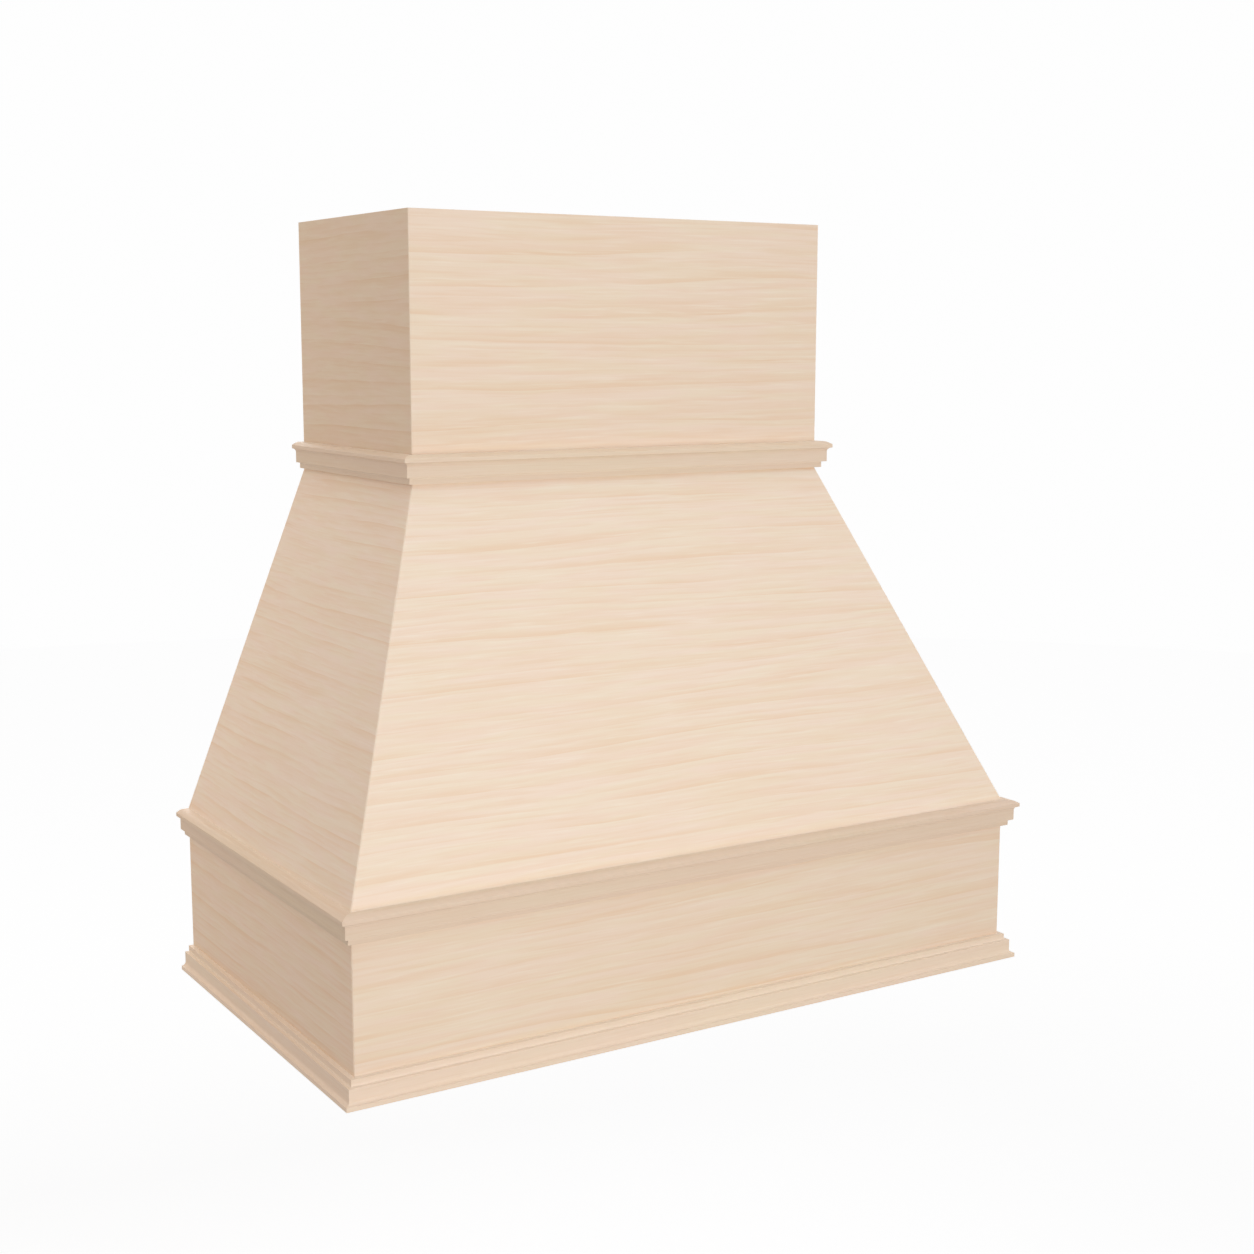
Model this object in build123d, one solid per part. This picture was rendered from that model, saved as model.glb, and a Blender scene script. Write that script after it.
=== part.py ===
from build123d import *
from math import sqrt
import os

os.makedirs("parts", exist_ok=True)

# Wooden range hood cover that hangs on a kitchen wall: a chimney box over a tapered
# body over an upright apron, all in maple-faced plywood, with three runs of solid
# maple moulding. Its back and its underside are open for the duct and the blower.
# X runs to the right, Y into the wall and Z up. The wall is the plane Y = 0, the
# underside is the plane Z = 0 and the cover is symmetric about X = 0. Millimetres.

# Outer shell, measured over the panels and without the mouldings.
hood_height = 914.0
chimney_width = 557.0
chimney_depth = 309.0
apron_width = 882.6
apron_depth = 492.6
shoulder_height = 616.0
waist_height = 204.0
chimney_panel_thickness = 19.0
taper_panel_thickness = 19.0
apron_panel_thickness = 19.0
arris_ease = 0.7

# Moulding of the upper and middle trims, projections measured from the panel's face.
fillet_projection = 6.0
fascia_projection = 10.9
nose_projection = 15.9
crown_fillet_height = 7.3
crown_fascia_height = 12.2
crown_lip_height = 3.5
crown_round_radius = 4.5

# Base trim: the same steps upside down over a square plinth edge.
base_plinth_height = 5.2
base_fascia_height = 12.1
base_fillet_height = 7.2

# Flat frames of four half-lapped rails.
shoulder_frame_thickness = 19.0
shoulder_rail_width = 45.0
shoulder_back_rail_width = 38.0
waist_frame_thickness = 19.0
waist_rail_width = 70.0
waist_back_rail_width = 60.0

# Ledger that carries the blower insert, and the cut-out in its middle.
ledger_thickness = 19.0
ledger_height = 38.0
ledger_tongue_thickness = 9.0
insert_cutout_width = 724.0
insert_cutout_depth = 330.0
insert_screw_edge = 16.0
insert_screw_spacing = 254.0
insert_screw_hole_radius = 2.5

# Rails across the open back. Their ends are housed in the side panels, as deep as the ledger's tongue.
mounting_rail_height = 89.0
mounting_rail_thickness = 19.0
bottom_rail_height = 89.0
housing_depth = 6.0
stud_spacing = 406.4
wall_screw_hole_radius = 3.25

# Blocks and loose splines behind the mitres.
chimney_block_size = 25.0
chimney_block_setback = 40.0
apron_block_size = 28.0
hip_block_reach = 34.0
hip_block_setback = 12.0
spline_thickness = 5.0
spline_width = 14.0
spline_inset = 9.0

# Countersunk wood screws of the corner blocks.
screw_head_radius = 4.0
screw_head_height = 3.0
screw_shank_radius = 2.0
screw_tip_length = 3.0
screw_clearance = 0.1
block_screw_bite = 12.0
chimney_block_screw_count = 3
apron_block_screw_count = 2

# A cutting tool, or a sheet before it is cut to size, is this many times too long.
oversize = 4

# Levels and profile sizes that follow from the sizes above.
chimney_foot = shoulder_height + shoulder_frame_thickness
apron_head = waist_height - waist_frame_thickness
ledger_top = ledger_height + ledger_thickness
taper_height = shoulder_height - waist_height
side_slope = (apron_width - chimney_width) / 2 / taper_height
front_slope = (apron_depth - chimney_depth) / taper_height
cove_radius = nose_projection - fascia_projection
crown_height = (
    crown_fillet_height + crown_fascia_height + cove_radius + crown_lip_height + crown_round_radius
)

# Outward unit normals of the faces of the left half, and the corners that they share.
side_normal = Vector(-1, 0, 0)
front_normal = Vector(0, -1, 0)
sloped_side_normal = Vector(-1, 0, side_slope).normalized()
sloped_front_normal = Vector(0, -1, front_slope).normalized()
chimney_corner = Vector(-chimney_width / 2, -chimney_depth, chimney_foot)
apron_corner = Vector(-apron_width / 2, -apron_depth, 0)
hip_foot = Vector(-apron_width / 2, -apron_depth, waist_height)


def block(x_range, y_range, z_range):
    """Box between two values on each axis."""
    lows, highs = zip(x_range, y_range, z_range)
    size = [high - low for low, high in zip(lows, highs)]
    return Pos(*lows) * Box(*size, align=(Align.MIN, Align.MIN, Align.MIN))


def keep_side(solid, point, normal):
    """The part of a solid on the side of a plane to which its normal points."""
    return split(solid, bisect_by=Plane(origin=point, z_dir=normal), keep=Keep.TOP)


def between_levels(solid, foot, head):
    """A solid cut level at its foot and at its head."""
    return keep_side(keep_side(solid, (0, 0, foot), (0, 0, 1)), (0, 0, head), (0, 0, -1))


def mirrored(solid):
    """The right-hand twin of a left-hand piece."""
    return mirror(solid, about=Plane.YZ)


# ---- Shell: panels cut from flat sheet, mitred where two faces meet ----


def inner_corner(corner, normal_a, normal_b, thickness):
    """Point inside a corner where the inner faces of two panels and its level meet."""
    tilt_a = thickness * sqrt(1 + (normal_a.Z / normal_a.X) ** 2)
    tilt_b = thickness * sqrt(1 + (normal_b.Z / normal_b.Y) ** 2)
    return corner + Vector(tilt_a, tilt_b, 0)


def oversize_sheet(width, height, thickness):
    """Sheet with its face on the local XY plane and enough height to be cut to length when it leans."""
    return Box(width, oversize * height, thickness, align=(Align.CENTER, Align.CENTER, Align.MAX))


def mitre(board, corner, face_normal, other_normal):
    """Bevel a board's edge to the plane that halves the corner with its neighbour, and ease the arris."""
    bevelled = keep_side(board, corner, face_normal - other_normal)
    outward = (face_normal + other_normal).normalized()
    return keep_side(bevelled, corner - outward * arris_ease, -outward)


def front_board(corner, normal, other_normal, thickness, foot, head):
    """Front panel between two levels, with its outer face through the corner and both ends mitred."""
    face = Plane(origin=(0, corner.Y, corner.Z), x_dir=(1, 0, 0), z_dir=normal)
    sheet = face * oversize_sheet(-2 * corner.X, head - foot, thickness)
    half = mitre(between_levels(sheet, foot, head), corner, normal, other_normal)
    return mirrored(mitre(mirrored(half), corner, normal, other_normal))


def side_board(corner, normal, other_normal, thickness, foot, head):
    """Left panel between two levels, mitred at the front and square against the wall."""
    face = Plane(origin=(corner.X, 0, corner.Z), x_dir=(0, 1, 0), z_dir=normal)
    sheet = face * oversize_sheet(-2 * corner.Y, head - foot, thickness)
    against_wall = keep_side(between_levels(sheet, foot, head), (0, 0, 0), front_normal)
    return mitre(against_wall, corner, normal, other_normal)


def spline(corner, normal_front, normal_side, thickness, foot, head):
    """Loose tongue across a mitre, near the inside of the corner and as long as the joint."""
    inside = inner_corner(corner, normal_side, normal_front, thickness)
    outward = (normal_front + normal_side).normalized()
    across = (normal_front - normal_side).normalized()
    along = across.cross(outward)
    middle = inside + outward * spline_inset
    seat = Plane(origin=middle, x_dir=across, z_dir=along)
    strip = seat * Box(spline_width, spline_thickness, oversize * (head - foot))
    return between_levels(strip, foot, head)


# ---- Mouldings: one profile along each face, mitred at the front corners ----


def crown_profile():
    """Upper and middle trim: fillet, fascia, cove, lip and a rounded top edge, drawn outwards and up."""
    fascia_foot = crown_fillet_height
    cove_foot = fascia_foot + crown_fascia_height
    lip_foot = cove_foot + cove_radius
    round_foot = lip_foot + crown_lip_height
    shoulder = nose_projection - crown_round_radius
    return make_face(
        Polyline(
            (shoulder, crown_height),
            (0, crown_height),
            (0, 0),
            (fillet_projection, 0),
            (fillet_projection, fascia_foot),
            (fascia_projection, fascia_foot),
            (fascia_projection, cove_foot),
        )
        + CenterArc((nose_projection, cove_foot), cove_radius, 180, -90)
        + Line((nose_projection, lip_foot), (nose_projection, round_foot))
        + CenterArc((shoulder, round_foot), crown_round_radius, 0, 90)
    )


def base_profile():
    """Base trim: square plinth edge, cove, fascia and fillet, drawn outwards and up."""
    cove_head = base_plinth_height + cove_radius
    fascia_head = cove_head + base_fascia_height
    fillet_head = fascia_head + base_fillet_height
    return make_face(
        Polyline(
            (fascia_projection, cove_head),
            (fascia_projection, fascia_head),
            (fillet_projection, fascia_head),
            (fillet_projection, fillet_head),
            (0, fillet_head),
            (0, 0),
            (nose_projection, 0),
            (nose_projection, base_plinth_height),
        )
        + CenterArc((nose_projection, cove_head), cove_radius, -90, -90)
    )


def trim_run(name, profile, corner, foot):
    """Front, left and right legs of a moulding that is glued round three faces."""
    overrun = 2 * nose_projection
    front_start = Plane(origin=(-corner.X + overrun, corner.Y, foot), x_dir=(0, -1, 0), z_dir=(-1, 0, 0))
    side_start = Plane(origin=(corner.X, 0, foot), x_dir=(-1, 0, 0), z_dir=(0, 1, 0))
    across = front_normal - side_normal
    front = extrude(front_start * profile, amount=2 * (overrun - corner.X))
    front = keep_side(front, corner, across)
    front = mirrored(keep_side(mirrored(front), corner, across))
    left = extrude(side_start * profile, amount=corner.Y - overrun)
    left = keep_side(left, corner, -across)
    return {f"{name}_front": front, f"{name}_left": left, f"{name}_right": mirrored(left)}


# ---- Flat frames: four rails half-lapped at the corners ----


def lapped_frame(name, half_width, front, back, side_rail, front_rail, back_rail, foot, thickness):
    """Front and back rails that keep their lower half at the corners, and side rails that keep the upper."""
    middle = foot + thickness / 2
    full = (foot, foot + thickness)
    upper = (middle, foot + thickness)
    lower = (foot, middle)
    lap = (-half_width, side_rail - half_width)
    front_strip = (front, front + front_rail)
    back_strip = (back - back_rail, back)
    rails = {}
    for place, strip in (("front", front_strip), ("back", back_strip)):
        cut = block(lap, strip, upper)
        rails[f"{name}_{place}"] = block((-half_width, half_width), strip, full) - cut - mirrored(cut)
    left = block(lap, (front, back), full) - block(lap, front_strip, lower) - block(lap, back_strip, lower)
    rails[f"{name}_left"] = left
    rails[f"{name}_right"] = mirrored(left)
    return rails


# ---- Screws and their holes ----


def screw(length, clearance=0.0):
    """Countersunk screw along Z from its head at the origin, or with a clearance the tool for its hole."""
    head = screw_head_radius + clearance
    shank = screw_shank_radius + clearance
    outline = Polyline(
        (0, 0, 0),
        (head, 0, 0),
        (shank, 0, screw_head_height),
        (shank, 0, length - screw_tip_length + clearance),
        (0, 0, length + clearance),
        close=True,
    )
    return revolve(make_face(outline), axis=Axis.Z)


def set_screws(nodes, names, places, length):
    """Drill the named nodes for a screw at each place, and return the screws as one group."""
    screws = [place * screw(length) for place in places]
    holes = [place * screw(length, screw_clearance) for place in places]
    for name in names:
        nodes[name] = nodes[name] - holes
    return Compound(children=screws)


def block_screw_places(corner, size, foot, head, count):
    """Screws spaced up a corner block, by turns into the front panel and into the left panel."""
    pitch = (head - foot) / count
    places = []
    for step in range(count):
        height = foot + (step + 0.5) * pitch
        if step % 2 == 0:
            seat = Plane(origin=(corner.X + size / 2, corner.Y + size, height), z_dir=front_normal)
        else:
            seat = Plane(origin=(corner.X + size, corner.Y + size / 2, height), z_dir=side_normal)
        places.append(seat)
    return places


def both_sides(places):
    """The places of the left half and their mirror images on the right."""
    twins = []
    for place in places:
        origin = Vector(-place.origin.X, place.origin.Y, place.origin.Z)
        direction = Vector(-place.z_dir.X, place.z_dir.Y, place.z_dir.Z)
        twins.append(Plane(origin=origin, z_dir=direction))
    return places + twins


def drill_for_wall(rail, height):
    """Bore a rail through for one screw in each of two neighbouring wall studs."""
    for side in (-1, 1):
        seat = Plane(origin=(side * stud_spacing / 2, 0, height), z_dir=front_normal)
        rail = rail - seat * Cylinder(wall_screw_hole_radius, oversize * mounting_rail_thickness)
    return rail


# ---- Assembly, from the chimney down ----


def chimney_nodes():
    """Three upright panels on the shoulder frame, with splines, corner blocks and the upper mounting rail."""
    corner, thickness = chimney_corner, chimney_panel_thickness
    shape = (thickness, chimney_foot, hood_height)
    tongue = spline(corner, front_normal, side_normal, *shape)
    inside = inner_corner(corner, side_normal, front_normal, thickness)
    rail_end = inside.X - housing_depth
    rail_foot = hood_height - mounting_rail_height
    rail = block((rail_end, -rail_end), (-mounting_rail_thickness, 0), (rail_foot, hood_height))
    front = front_board(corner, front_normal, side_normal, *shape) - tongue - mirrored(tongue)
    left = side_board(corner, side_normal, front_normal, *shape) - tongue - rail
    block_head = hood_height - chimney_block_setback
    post = block(
        (inside.X, inside.X + chimney_block_size),
        (inside.Y, inside.Y + chimney_block_size),
        (chimney_foot, block_head),
    )
    nodes = {
        "chimney_front_panel": front,
        "chimney_left_panel": left,
        "chimney_right_panel": mirrored(left),
        "chimney_spline_left": tongue,
        "chimney_spline_right": mirrored(tongue),
        "chimney_block_left": post,
        "chimney_block_right": mirrored(post),
        "upper_mounting_rail": drill_for_wall(rail, hood_height - mounting_rail_height / 2),
    }
    post_size = (chimney_block_size, chimney_foot, block_head)
    places = both_sides(block_screw_places(inside, *post_size, chimney_block_screw_count))
    fastened = [name for name in nodes if "panel" in name or "block" in name]
    length = chimney_block_size + block_screw_bite
    nodes["chimney_block_screws"] = set_screws(nodes, fastened, places, length)
    return nodes


def taper_nodes():
    """Three leaning panels between the frames, with splines, hip blocks and the middle mounting rail."""
    shape = (taper_panel_thickness, waist_height, shoulder_height)
    tongue = spline(hip_foot, sloped_front_normal, sloped_side_normal, *shape)
    inside = inner_corner(hip_foot, sloped_side_normal, sloped_front_normal, taper_panel_thickness)
    rail_end = hip_foot - sloped_side_normal * (taper_panel_thickness - housing_depth)
    blank = block(
        (-apron_width / 2, apron_width / 2),
        (-mounting_rail_thickness, 0),
        (waist_height, waist_height + mounting_rail_height),
    )
    half = keep_side(blank, rail_end, -sloped_side_normal)
    rail = mirrored(keep_side(mirrored(half), rail_end, -sloped_side_normal))
    front = front_board(hip_foot, sloped_front_normal, sloped_side_normal, *shape)
    left = side_board(hip_foot, sloped_side_normal, sloped_front_normal, *shape) - tongue - rail
    outward = (sloped_front_normal + sloped_side_normal).normalized()
    stock = block(
        (-apron_width / 2, 0),
        (-apron_depth, 0),
        (waist_height + hip_block_setback, shoulder_height - hip_block_setback),
    )
    wedge = keep_side(stock, inside, -sloped_front_normal)
    wedge = keep_side(wedge, inside, -sloped_side_normal)
    wedge = keep_side(wedge, inside - outward * hip_block_reach, outward)
    return {
        "taper_front_panel": front - tongue - mirrored(tongue),
        "taper_left_panel": left,
        "taper_right_panel": mirrored(left),
        "hip_spline_left": tongue,
        "hip_spline_right": mirrored(tongue),
        "hip_block_left": wedge,
        "hip_block_right": mirrored(wedge),
        "middle_mounting_rail": drill_for_wall(rail, waist_height + mounting_rail_height / 2),
    }


def ledger_plan():
    """Half width, front and back edge and rail widths of the ledger, over the tongue round its rim."""
    half_width = apron_width / 2 - apron_panel_thickness + housing_depth
    front_edge = apron_panel_thickness - apron_depth - housing_depth
    back_edge = housing_depth - mounting_rail_thickness
    side_rail = half_width - insert_cutout_width / 2
    end_rail = (back_edge - front_edge - insert_cutout_depth) / 2
    return half_width, front_edge, back_edge, side_rail, end_rail, end_rail


def under_tongue():
    """What is cut from under the ledger's rim, so that only its tongue enters the grooves."""
    half_width, front_edge, back_edge = ledger_plan()[:3]
    levels = (ledger_height, ledger_top - ledger_tongue_thickness)
    inside_width = half_width - housing_depth
    inside_depth = (front_edge + housing_depth, back_edge - housing_depth)
    stock = block((-apron_width / 2, apron_width / 2), (-apron_depth, 0), levels)
    return stock - block((-inside_width, inside_width), inside_depth, levels)


def clear_of_splines(solid):
    """Cut off both front corners of the ledger's tongue or its groove, square to the mitres."""
    outward = (front_normal + side_normal).normalized()
    inside = inner_corner(apron_corner, side_normal, front_normal, apron_panel_thickness)
    spline_face = inside + outward * (spline_inset - spline_thickness / 2)
    left_cut = keep_side(solid, spline_face, -outward)
    return mirrored(keep_side(mirrored(left_cut), spline_face, -outward))


def apron_nodes():
    """Three upright panels under the waist frame, with splines, corner blocks and the bottom rail."""
    corner, thickness = apron_corner, apron_panel_thickness
    shape = (thickness, 0, apron_head)
    tongue = spline(corner, front_normal, side_normal, *shape)
    inside = inner_corner(corner, side_normal, front_normal, thickness)
    half_width, front_edge, back_edge = ledger_plan()[:3]
    groove_levels = (ledger_top - ledger_tongue_thickness, ledger_top)
    groove = clear_of_splines(block((-half_width, half_width), (front_edge, back_edge), groove_levels))
    rail = block((-half_width, half_width), (-mounting_rail_thickness, 0), (0, bottom_rail_height))
    front = front_board(corner, front_normal, side_normal, *shape) - tongue - mirrored(tongue) - groove
    left = side_board(corner, side_normal, front_normal, *shape) - tongue - groove - rail
    post = block(
        (inside.X, inside.X + apron_block_size),
        (inside.Y, inside.Y + apron_block_size),
        (ledger_top, apron_head),
    )
    nodes = {
        "apron_front_panel": front,
        "apron_left_panel": left,
        "apron_right_panel": mirrored(left),
        "apron_spline_left": tongue,
        "apron_spline_right": mirrored(tongue),
        "apron_block_left": post,
        "apron_block_right": mirrored(post),
        "bottom_rail": rail - groove,
    }
    post_size = (apron_block_size, ledger_top, apron_head)
    places = both_sides(block_screw_places(inside, *post_size, apron_block_screw_count))
    fastened = [name for name in nodes if "panel" in name or "block" in name]
    length = apron_block_size + block_screw_bite
    nodes["apron_block_screws"] = set_screws(nodes, fastened, places, length)
    return nodes


def ledger_nodes():
    """Frame round the insert cut-out, with a row of screw holes beside each end of the cut-out."""
    plan = ledger_plan()
    nodes = lapped_frame("insert_ledger", *plan, ledger_height, ledger_thickness)
    for name in nodes:
        nodes[name] = clear_of_splines(nodes[name] - under_tongue())
    middle = (plan[1] + plan[2]) / 2
    drill = Cylinder(insert_screw_hole_radius, oversize * ledger_thickness)
    for place, side in (("left", -1), ("right", 1)):
        x = side * (insert_cutout_width / 2 + insert_screw_edge)
        for end in (-1, 1):
            bore = Pos(x, middle + end * insert_screw_spacing / 2, ledger_height) * drill
            nodes[f"insert_ledger_{place}"] -= bore
    return nodes


def frame_nodes():
    """Shoulder and waist frames, flush with the panels that stand on them and hang from them."""
    shoulder_rails = (shoulder_rail_width, shoulder_rail_width, shoulder_back_rail_width)
    shoulder_plan = (chimney_width / 2, -chimney_depth, 0, *shoulder_rails)
    waist_rails = (waist_rail_width, waist_rail_width, waist_back_rail_width)
    waist_plan = (apron_width / 2, -apron_depth, 0, *waist_rails)
    nodes = lapped_frame("shoulder_frame", *shoulder_plan, shoulder_height, shoulder_frame_thickness)
    nodes.update(lapped_frame("waist_frame", *waist_plan, apron_head, waist_frame_thickness))
    return nodes


def trim_nodes():
    """The three runs of moulding."""
    nodes = trim_run("upper_trim", crown_profile(), chimney_corner, shoulder_height)
    nodes.update(trim_run("middle_trim", crown_profile(), apron_corner, waist_height - crown_height))
    nodes.update(trim_run("base_trim", base_profile(), apron_corner, 0))
    return nodes


for sub_assembly in (chimney_nodes, taper_nodes, apron_nodes, ledger_nodes, frame_nodes, trim_nodes):
    for node_name, node_shape in sub_assembly().items():
        export_step(node_shape, f"parts/{node_name}.step")
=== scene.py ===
"""Dress the wooden range hood cover for its picture.

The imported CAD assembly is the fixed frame. Its boards keep their shape and get maple veneer,
plywood or hardwood of their own. The mouldings and the corner-block screws are made again in
finer detail, and the dried glue along the blocks is added. Everything is in metres, with X to
the right, Y into the wall and Z up from the underside.
"""

import logging
import math
from dataclasses import dataclass, field
from enum import Enum
from functools import cache

import bpy
import numpy as np
from mathutils import Matrix, Vector


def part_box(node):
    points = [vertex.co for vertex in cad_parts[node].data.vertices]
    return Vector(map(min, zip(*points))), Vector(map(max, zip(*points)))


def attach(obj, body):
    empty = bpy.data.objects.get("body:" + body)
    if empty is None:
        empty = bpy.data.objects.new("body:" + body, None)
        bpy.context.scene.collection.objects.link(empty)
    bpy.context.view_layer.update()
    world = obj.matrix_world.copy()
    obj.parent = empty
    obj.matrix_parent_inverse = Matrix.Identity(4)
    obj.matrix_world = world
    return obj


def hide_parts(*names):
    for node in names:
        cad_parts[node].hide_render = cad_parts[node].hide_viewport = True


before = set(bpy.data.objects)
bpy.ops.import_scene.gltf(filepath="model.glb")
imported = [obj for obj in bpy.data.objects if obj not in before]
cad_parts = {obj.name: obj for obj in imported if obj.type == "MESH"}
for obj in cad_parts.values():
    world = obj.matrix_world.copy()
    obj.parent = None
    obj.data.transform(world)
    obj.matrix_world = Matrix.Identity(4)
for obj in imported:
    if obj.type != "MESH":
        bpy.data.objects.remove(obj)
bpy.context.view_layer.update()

log = logging.getLogger("range_hood_cover")

MM = 0.001

# Half the width and the depth over the panels, the levels of the taper's foot and head, and the
# thickness of the boards.
CHIMNEY_PLAN = (0.2785, 0.309)
APRON_PLAN = (0.4413, 0.4926)
WAIST = 0.204
SHOULDER = 0.616
BOARD = 0.019

Colour = tuple[float, float, float, float]
Point = tuple[float, float, float]
Socket = bpy.types.NodeSocket
Feed = Socket | float | tuple | Vector

PLAIN: Point = (1.0, 1.0, 1.0)


class Slot(Enum):
    """The record's material slots."""

    PANEL = "panel_maple"
    TRIM = "trim_maple"
    FRAME = "frame_plywood"
    BLOCK = "block_hardwood"
    SCREW = "screw_steel"


class Side(Enum):
    """Which leg, panel or rail of a sub-assembly a board is."""

    FRONT = "front"
    BACK = "back"
    LEFT = "left"
    RIGHT = "right"

    @property
    def way(self) -> int:
        """-1 on the left, 1 on the right and 0 between them."""
        return (self is Side.RIGHT) - (self is Side.LEFT)


# The sides that panels and mouldings go round, in the order of their leaves and planks.
WRAP = (Side.FRONT, Side.LEFT, Side.RIGHT)
# Makes a left piece's points and ways those of the right one.
MIRROR = np.array((-1.0, 1.0, 1.0))


def paint(red: float, green: float, blue: float) -> Colour:
    """A colour given as it looks on screen, in the linear values that shaders use.

    Args:
        red: Screen level of red, from 0 to 255.
        green: Screen level of green.
        blue: Screen level of blue.

    Returns:
        The linear colour with full opacity.
    """
    levels = np.array([red, green, blue]) / 255.0
    linear = np.where(levels <= 0.04045, levels / 12.92, ((levels + 0.055) / 1.055) ** 2.4)
    return (float(linear[0]), float(linear[1]), float(linear[2]), 1.0)


def toned(colour: Colour, tone: Point) -> Colour:
    """A colour made lighter, darker or warmer by factors of its linear red, green and blue."""
    red, green, blue = (min(1.0, part * factor) for part, factor in zip(colour, tone))
    return (red, green, blue, 1.0)


# ---- Shader wiring ----


class Wiring:
    """Adds nodes to one shader tree and joins them."""

    def __init__(self, tree: bpy.types.NodeTree) -> None:
        """Keep the tree that is being wired."""
        self.tree = tree

    def add(self, kind: str, *values: Feed, **settings: object) -> bpy.types.Node:
        """A new node with its first inputs fed.

        Args:
            kind: The node's type name.
            *values: What its first inputs get, in order.
            **settings: Properties of the node, by name.

        Returns:
            The node.
        """
        node = self.tree.nodes.new(kind)
        for name, value in settings.items():
            setattr(node, name, value)
        for socket, value in zip(node.inputs, values):
            self.feed(socket, value)
        return node

    def feed(self, socket: Socket, value: Feed) -> None:
        """Link a socket to the value's own socket, or set the value on it."""
        if isinstance(value, Socket):
            self.tree.links.new(value, socket)
        else:
            socket.default_value = value

    def maths(self, operation: str, *values: Feed) -> Socket:
        """The result of a Math node with its inputs fed in order."""
        return self.add("ShaderNodeMath", *values, operation=operation).outputs[0]

    def vectors(self, operation: str, *values: Feed) -> bpy.types.Node:
        """A Vector Math node with its inputs fed in order."""
        return self.add("ShaderNodeVectorMath", *values, operation=operation)

    def combine(self, x: Feed, y: Feed, z: Feed) -> Socket:
        """A vector from three values."""
        return self.add("ShaderNodeCombineXYZ", x, y, z).outputs[0]

    def separate(self, vector: Socket) -> tuple[Socket, Socket, Socket]:
        """The three values of a vector."""
        node = self.add("ShaderNodeSeparateXYZ", vector)
        return node.outputs[0], node.outputs[1], node.outputs[2]

    def noise(self, place: Socket, cell: Feed, detail: float = 0.0, rough: float = 0.5) -> Socket:
        """Smooth noise whose features have a given size on each axis.

        Args:
            place: Where the noise is read, in metres.
            cell: The size of a feature along X, Y and Z, in metres.
            detail: How many finer octaves are added.
            rough: How strong each finer octave is.

        Returns:
            The noise, which averages one half.
        """
        scaled = self.vectors("DIVIDE", place, cell).outputs[0]
        node = self.add("ShaderNodeTexNoise", scaled, noise_dimensions="3D")
        node.inputs["Scale"].default_value = 1.0
        node.inputs["Detail"].default_value = detail
        node.inputs["Roughness"].default_value = rough
        return node.outputs["Fac"]

    def ramp(self, value: Feed, low: Feed, high: Feed, to_low: Feed = 0.0, to_high: Feed = 1.0) -> Socket:
        """A smooth step from one level to another.

        Args:
            value: What is stepped.
            low: Where the step starts.
            high: Where it ends.
            to_low: The result before the step.
            to_high: The result after it.

        Returns:
            The stepped value.
        """
        step = (value, low, high, to_low, to_high)
        return self.add("ShaderNodeMapRange", *step, interpolation_type="SMOOTHSTEP").outputs[0]

    def tint(self, share: Feed, under: Feed, over: Feed, strength: float = 1.0) -> Socket:
        """One colour laid over another.

        Args:
            share: How much of the upper colour shows, from 0 to 1.
            under: The lower colour.
            over: The upper colour.
            strength: A factor of the share.

        Returns:
            The mixed colour.
        """
        if strength != 1.0:
            share = self.maths("MULTIPLY", share, strength)
        node = self.add("ShaderNodeMix", share, data_type="RGBA")
        self.feed(node.inputs[6], under)
        self.feed(node.inputs[7], over)
        return node.outputs[2]

    def use(self, group: bpy.types.NodeTree, **inputs: Feed) -> dict[str, Socket]:
        """A group placed in this tree.

        Args:
            group: The group.
            **inputs: Its inputs, by name with underscores for spaces.

        Returns:
            Its outputs by name.
        """
        node = self.add("ShaderNodeGroup", node_tree=group)
        for name, value in inputs.items():
            self.feed(node.inputs[name.replace("_", " ")], value)
        return {socket.name: socket for socket in node.outputs}


class Group:
    """A shader node group under construction, with its named inputs and outputs."""

    def __init__(self, name: str, inputs: dict[str, float | Point], outputs: tuple[str, ...]) -> None:
        """Make the group and its sockets.

        Args:
            name: The group's name.
            inputs: Each input's name and usual value; three numbers make a vector.
            outputs: The names of the outputs, which are all single values.
        """
        self.tree = bpy.data.node_groups.new(name, "ShaderNodeTree")
        for label, usual in inputs.items():
            kind = "NodeSocketVector" if isinstance(usual, tuple) else "NodeSocketFloat"
            socket = self.tree.interface.new_socket(name=label, in_out="INPUT", socket_type=kind)
            socket.default_value = usual
        for label in outputs:
            self.tree.interface.new_socket(name=label, in_out="OUTPUT", socket_type="NodeSocketFloat")
        self.wiring = Wiring(self.tree)
        self.given = self.wiring.add("NodeGroupInput").outputs
        self.result = self.wiring.add("NodeGroupOutput").inputs

    def give(self, name: str, value: Socket) -> None:
        """Send a value out of the group."""
        self.wiring.feed(self.result[name], value)


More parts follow.
